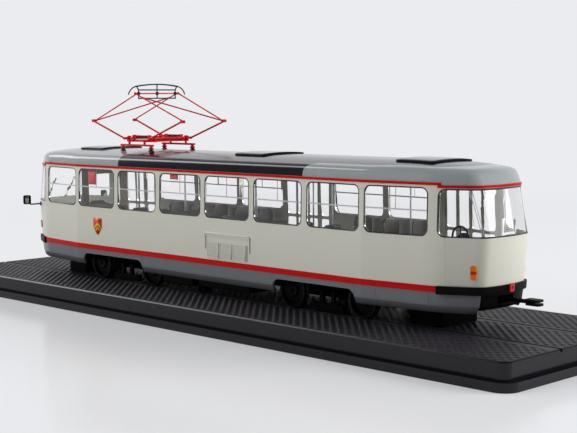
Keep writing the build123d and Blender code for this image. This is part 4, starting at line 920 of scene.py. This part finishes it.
# Enamelled spring wire: a dark red, because the gaps between the turns are in shade.
spring_red = enamel("red enamelled spring wire", "#8f1a1f", "#971f24", 0.32)
coil_quads = repeat(weave(COIL_STEPS, WIRE_SIDES, closed_columns=True), 2, COIL_STEPS * WIRE_SIDES)
springs = piece("coil_springs", np.array([coil(y) for y in beams]), coil_quads, spring_red)
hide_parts("pantograph_springs")
hook_places = [(y, end) for y in beams for end in (1, -1)]
hook_quads = weave(HOOK_STEPS, WIRE_SIDES, closed_columns=True)
hook_quads = np.array([hook_quads[:, ::end] for _, end in hook_places])
hook_quads = repeat(hook_quads, len(hook_places), HOOK_STEPS * WIRE_SIDES)
piece("spring_hooks", np.array([hook(*spot) for spot in hook_places]), hook_quads, spring_red)

# Studio
# A white glossy table before a white wall, under a dark ceiling, with a soft box beyond the rear end on
# the right, a second one on the left and a strip light overhead. The camera's side is left dark.
ROOM_WHITE, ROOM_LIGHT, GLASS_LIGHT = "#ebecef", 0.28, 1.12
BACKDROP_WAY = (0.72, -0.69, 0.0)
WALL_EDGE, WALL_LEAST, CEILING_EDGE, CEILING_LEAST = (0.2, 0.65), 0.04, (0.4, 0.8), 0.1
TABLE_HALF, FADE_FROM, FADE_TO, FADE_LEAST = 4.0, 0.3, 1.0, 0.35
table_grid = np.array([[-1, -1, 0], [1, -1, 0], [1, 1, 0], [-1, 1, 0]]) * TABLE_HALF
table_mesh = bpy.data.meshes.new("table")
table_mesh.from_pydata(table_grid.tolist(), [], [(0, 1, 2, 3)])
table = link("table", table_mesh)
# White lacquer: pale with a faint mirror image, and it fades into the white of the room far away.
table_white, output, place = start("white lacquered table")
far = vector(table_white, "LENGTH", place)
fade = ramp(table_white, far, FADE_LEAST, 1, FADE_FROM, FADE_TO, "SMOOTHSTEP")
rays = add(table_white, "LightPath").outputs
seen = calc(table_white, "MAXIMUM", rays["Is Camera Ray"], rays["Is Glossy Ray"])
seen = calc(table_white, "MAXIMUM", seen, rays["Is Transmission Ray"])
share = calc(table_white, "MULTIPLY", fade, seen)
lacquer = add(
    table_white, "BsdfPrincipled", {"Base Color": linear("#f3f4f6"), "Roughness": 0.16, "IOR": 1.35}
)
room = add(table_white, "Emission", {"Color": linear(ROOM_WHITE), "Strength": 1.0})
shader = add(table_white, "MixShader", {0: share, 1: lacquer.outputs[0], 2: room.outputs[0]})
table_mesh.materials.append(close(table_white, output, shader))

# The room: even light, except in mirrors, which see the bright wall behind the tram and a dark rest.
world = bpy.data.worlds.new("studio")
bpy.context.scene.world = world
world.use_nodes = True
world.node_tree.nodes.clear()
rays = add(world, "LightPath").outputs
way = add(world, "TexCoord").outputs["Generated"]
behind = vector(world, "DOT_PRODUCT", way, BACKDROP_WAY)
wall = ramp(world, behind, WALL_LEAST, 1.0, *WALL_EDGE, "SMOOTHSTEP")
height = add(world, "SeparateXYZ", {"Vector": way}).outputs["Z"]
ceiling = ramp(world, height, 1.0, CEILING_LEAST, *CEILING_EDGE, "SMOOTHSTEP")
sheen = calc(world, "MULTIPLY", wall, ceiling)
light = ROOM_LIGHT
for ray, strength in (("Is Glossy Ray", sheen), ("Is Camera Ray", 1.0), ("Is Transmission Ray", GLASS_LIGHT)):
    light = add(world, "Mix", {"Factor": rays[ray], "A": light, "B": strength}).outputs["Result"]
backdrop = add(world, "Background", {"Color": linear(ROOM_WHITE), "Strength": light})
close(world, add(world, "OutputWorld"), backdrop)

for name, place, aim, width, height, power, mirrored in (
    ("rear soft box", (-1.05, -0.84, 0.55), (-0.1, 0, 0.05), 0.9, 0.9, 22, False),
    ("left soft box", (0.75, 1.2, 0.85), (0, 0, 0.05), 1.0, 1.0, 12.5, False),
    ("overhead strip light", (1.0, 0.16, 0.78), (0, 0, 0.05), 0.3, 0.95, 3.4, True),
):
    lamp_data = bpy.data.lights.new(name, "AREA")
    lamp_data.shape = "RECTANGLE"
    lamp_data.size, lamp_data.size_y = width, height
    lamp_data.energy = power
    lamp = link(name, lamp_data)
    lamp.visible_glossy = mirrored
    toward = np.array(aim) - np.array(place)
    lamp.location = place
    lamp.rotation_euler = (
        math.atan2(math.hypot(toward[0], toward[1]), -toward[2]),
        0,
        math.atan2(toward[0], -toward[1]) + math.pi,
    )

# Camera
# The photo's view: from the left of the rear end, a little above the roof, with a long lens. Its place
# and angles come from points of the model whose sizes are known.
CAMERA_PLACE = np.array([-0.4711, 0.4359, 0.0978 + RAIL_Z])
AZIMUTH, ELEVATION, ROLL = np.radians([225.29, 5.3, -0.41])
LENS_PX, FRAME_PX, SENSOR_MM = 1272.2, 577, 36.0
back = np.array(
    [math.sin(AZIMUTH) * math.cos(ELEVATION), -math.cos(AZIMUTH) * math.cos(ELEVATION), math.sin(ELEVATION)]
)
level = np.array([math.cos(AZIMUTH), math.sin(AZIMUTH), 0.0])
right = math.cos(ROLL) * level + math.sin(ROLL) * np.cross(back, level)
upright = np.cross(back, right)
camera_data = bpy.data.cameras.new("camera")
camera_data.sensor_width = SENSOR_MM
camera_data.lens = LENS_PX / FRAME_PX * SENSOR_MM
camera_data.clip_start = 0.01
camera = link("camera", camera_data)
turned = np.eye(4)
turned[:3, 0], turned[:3, 1], turned[:3, 2], turned[:3, 3] = right, upright, back, CAMERA_PLACE
camera.matrix_world = Matrix(turned.tolist())
bpy.context.scene.camera = camera
bpy.context.scene.view_settings.view_transform = "Standard"
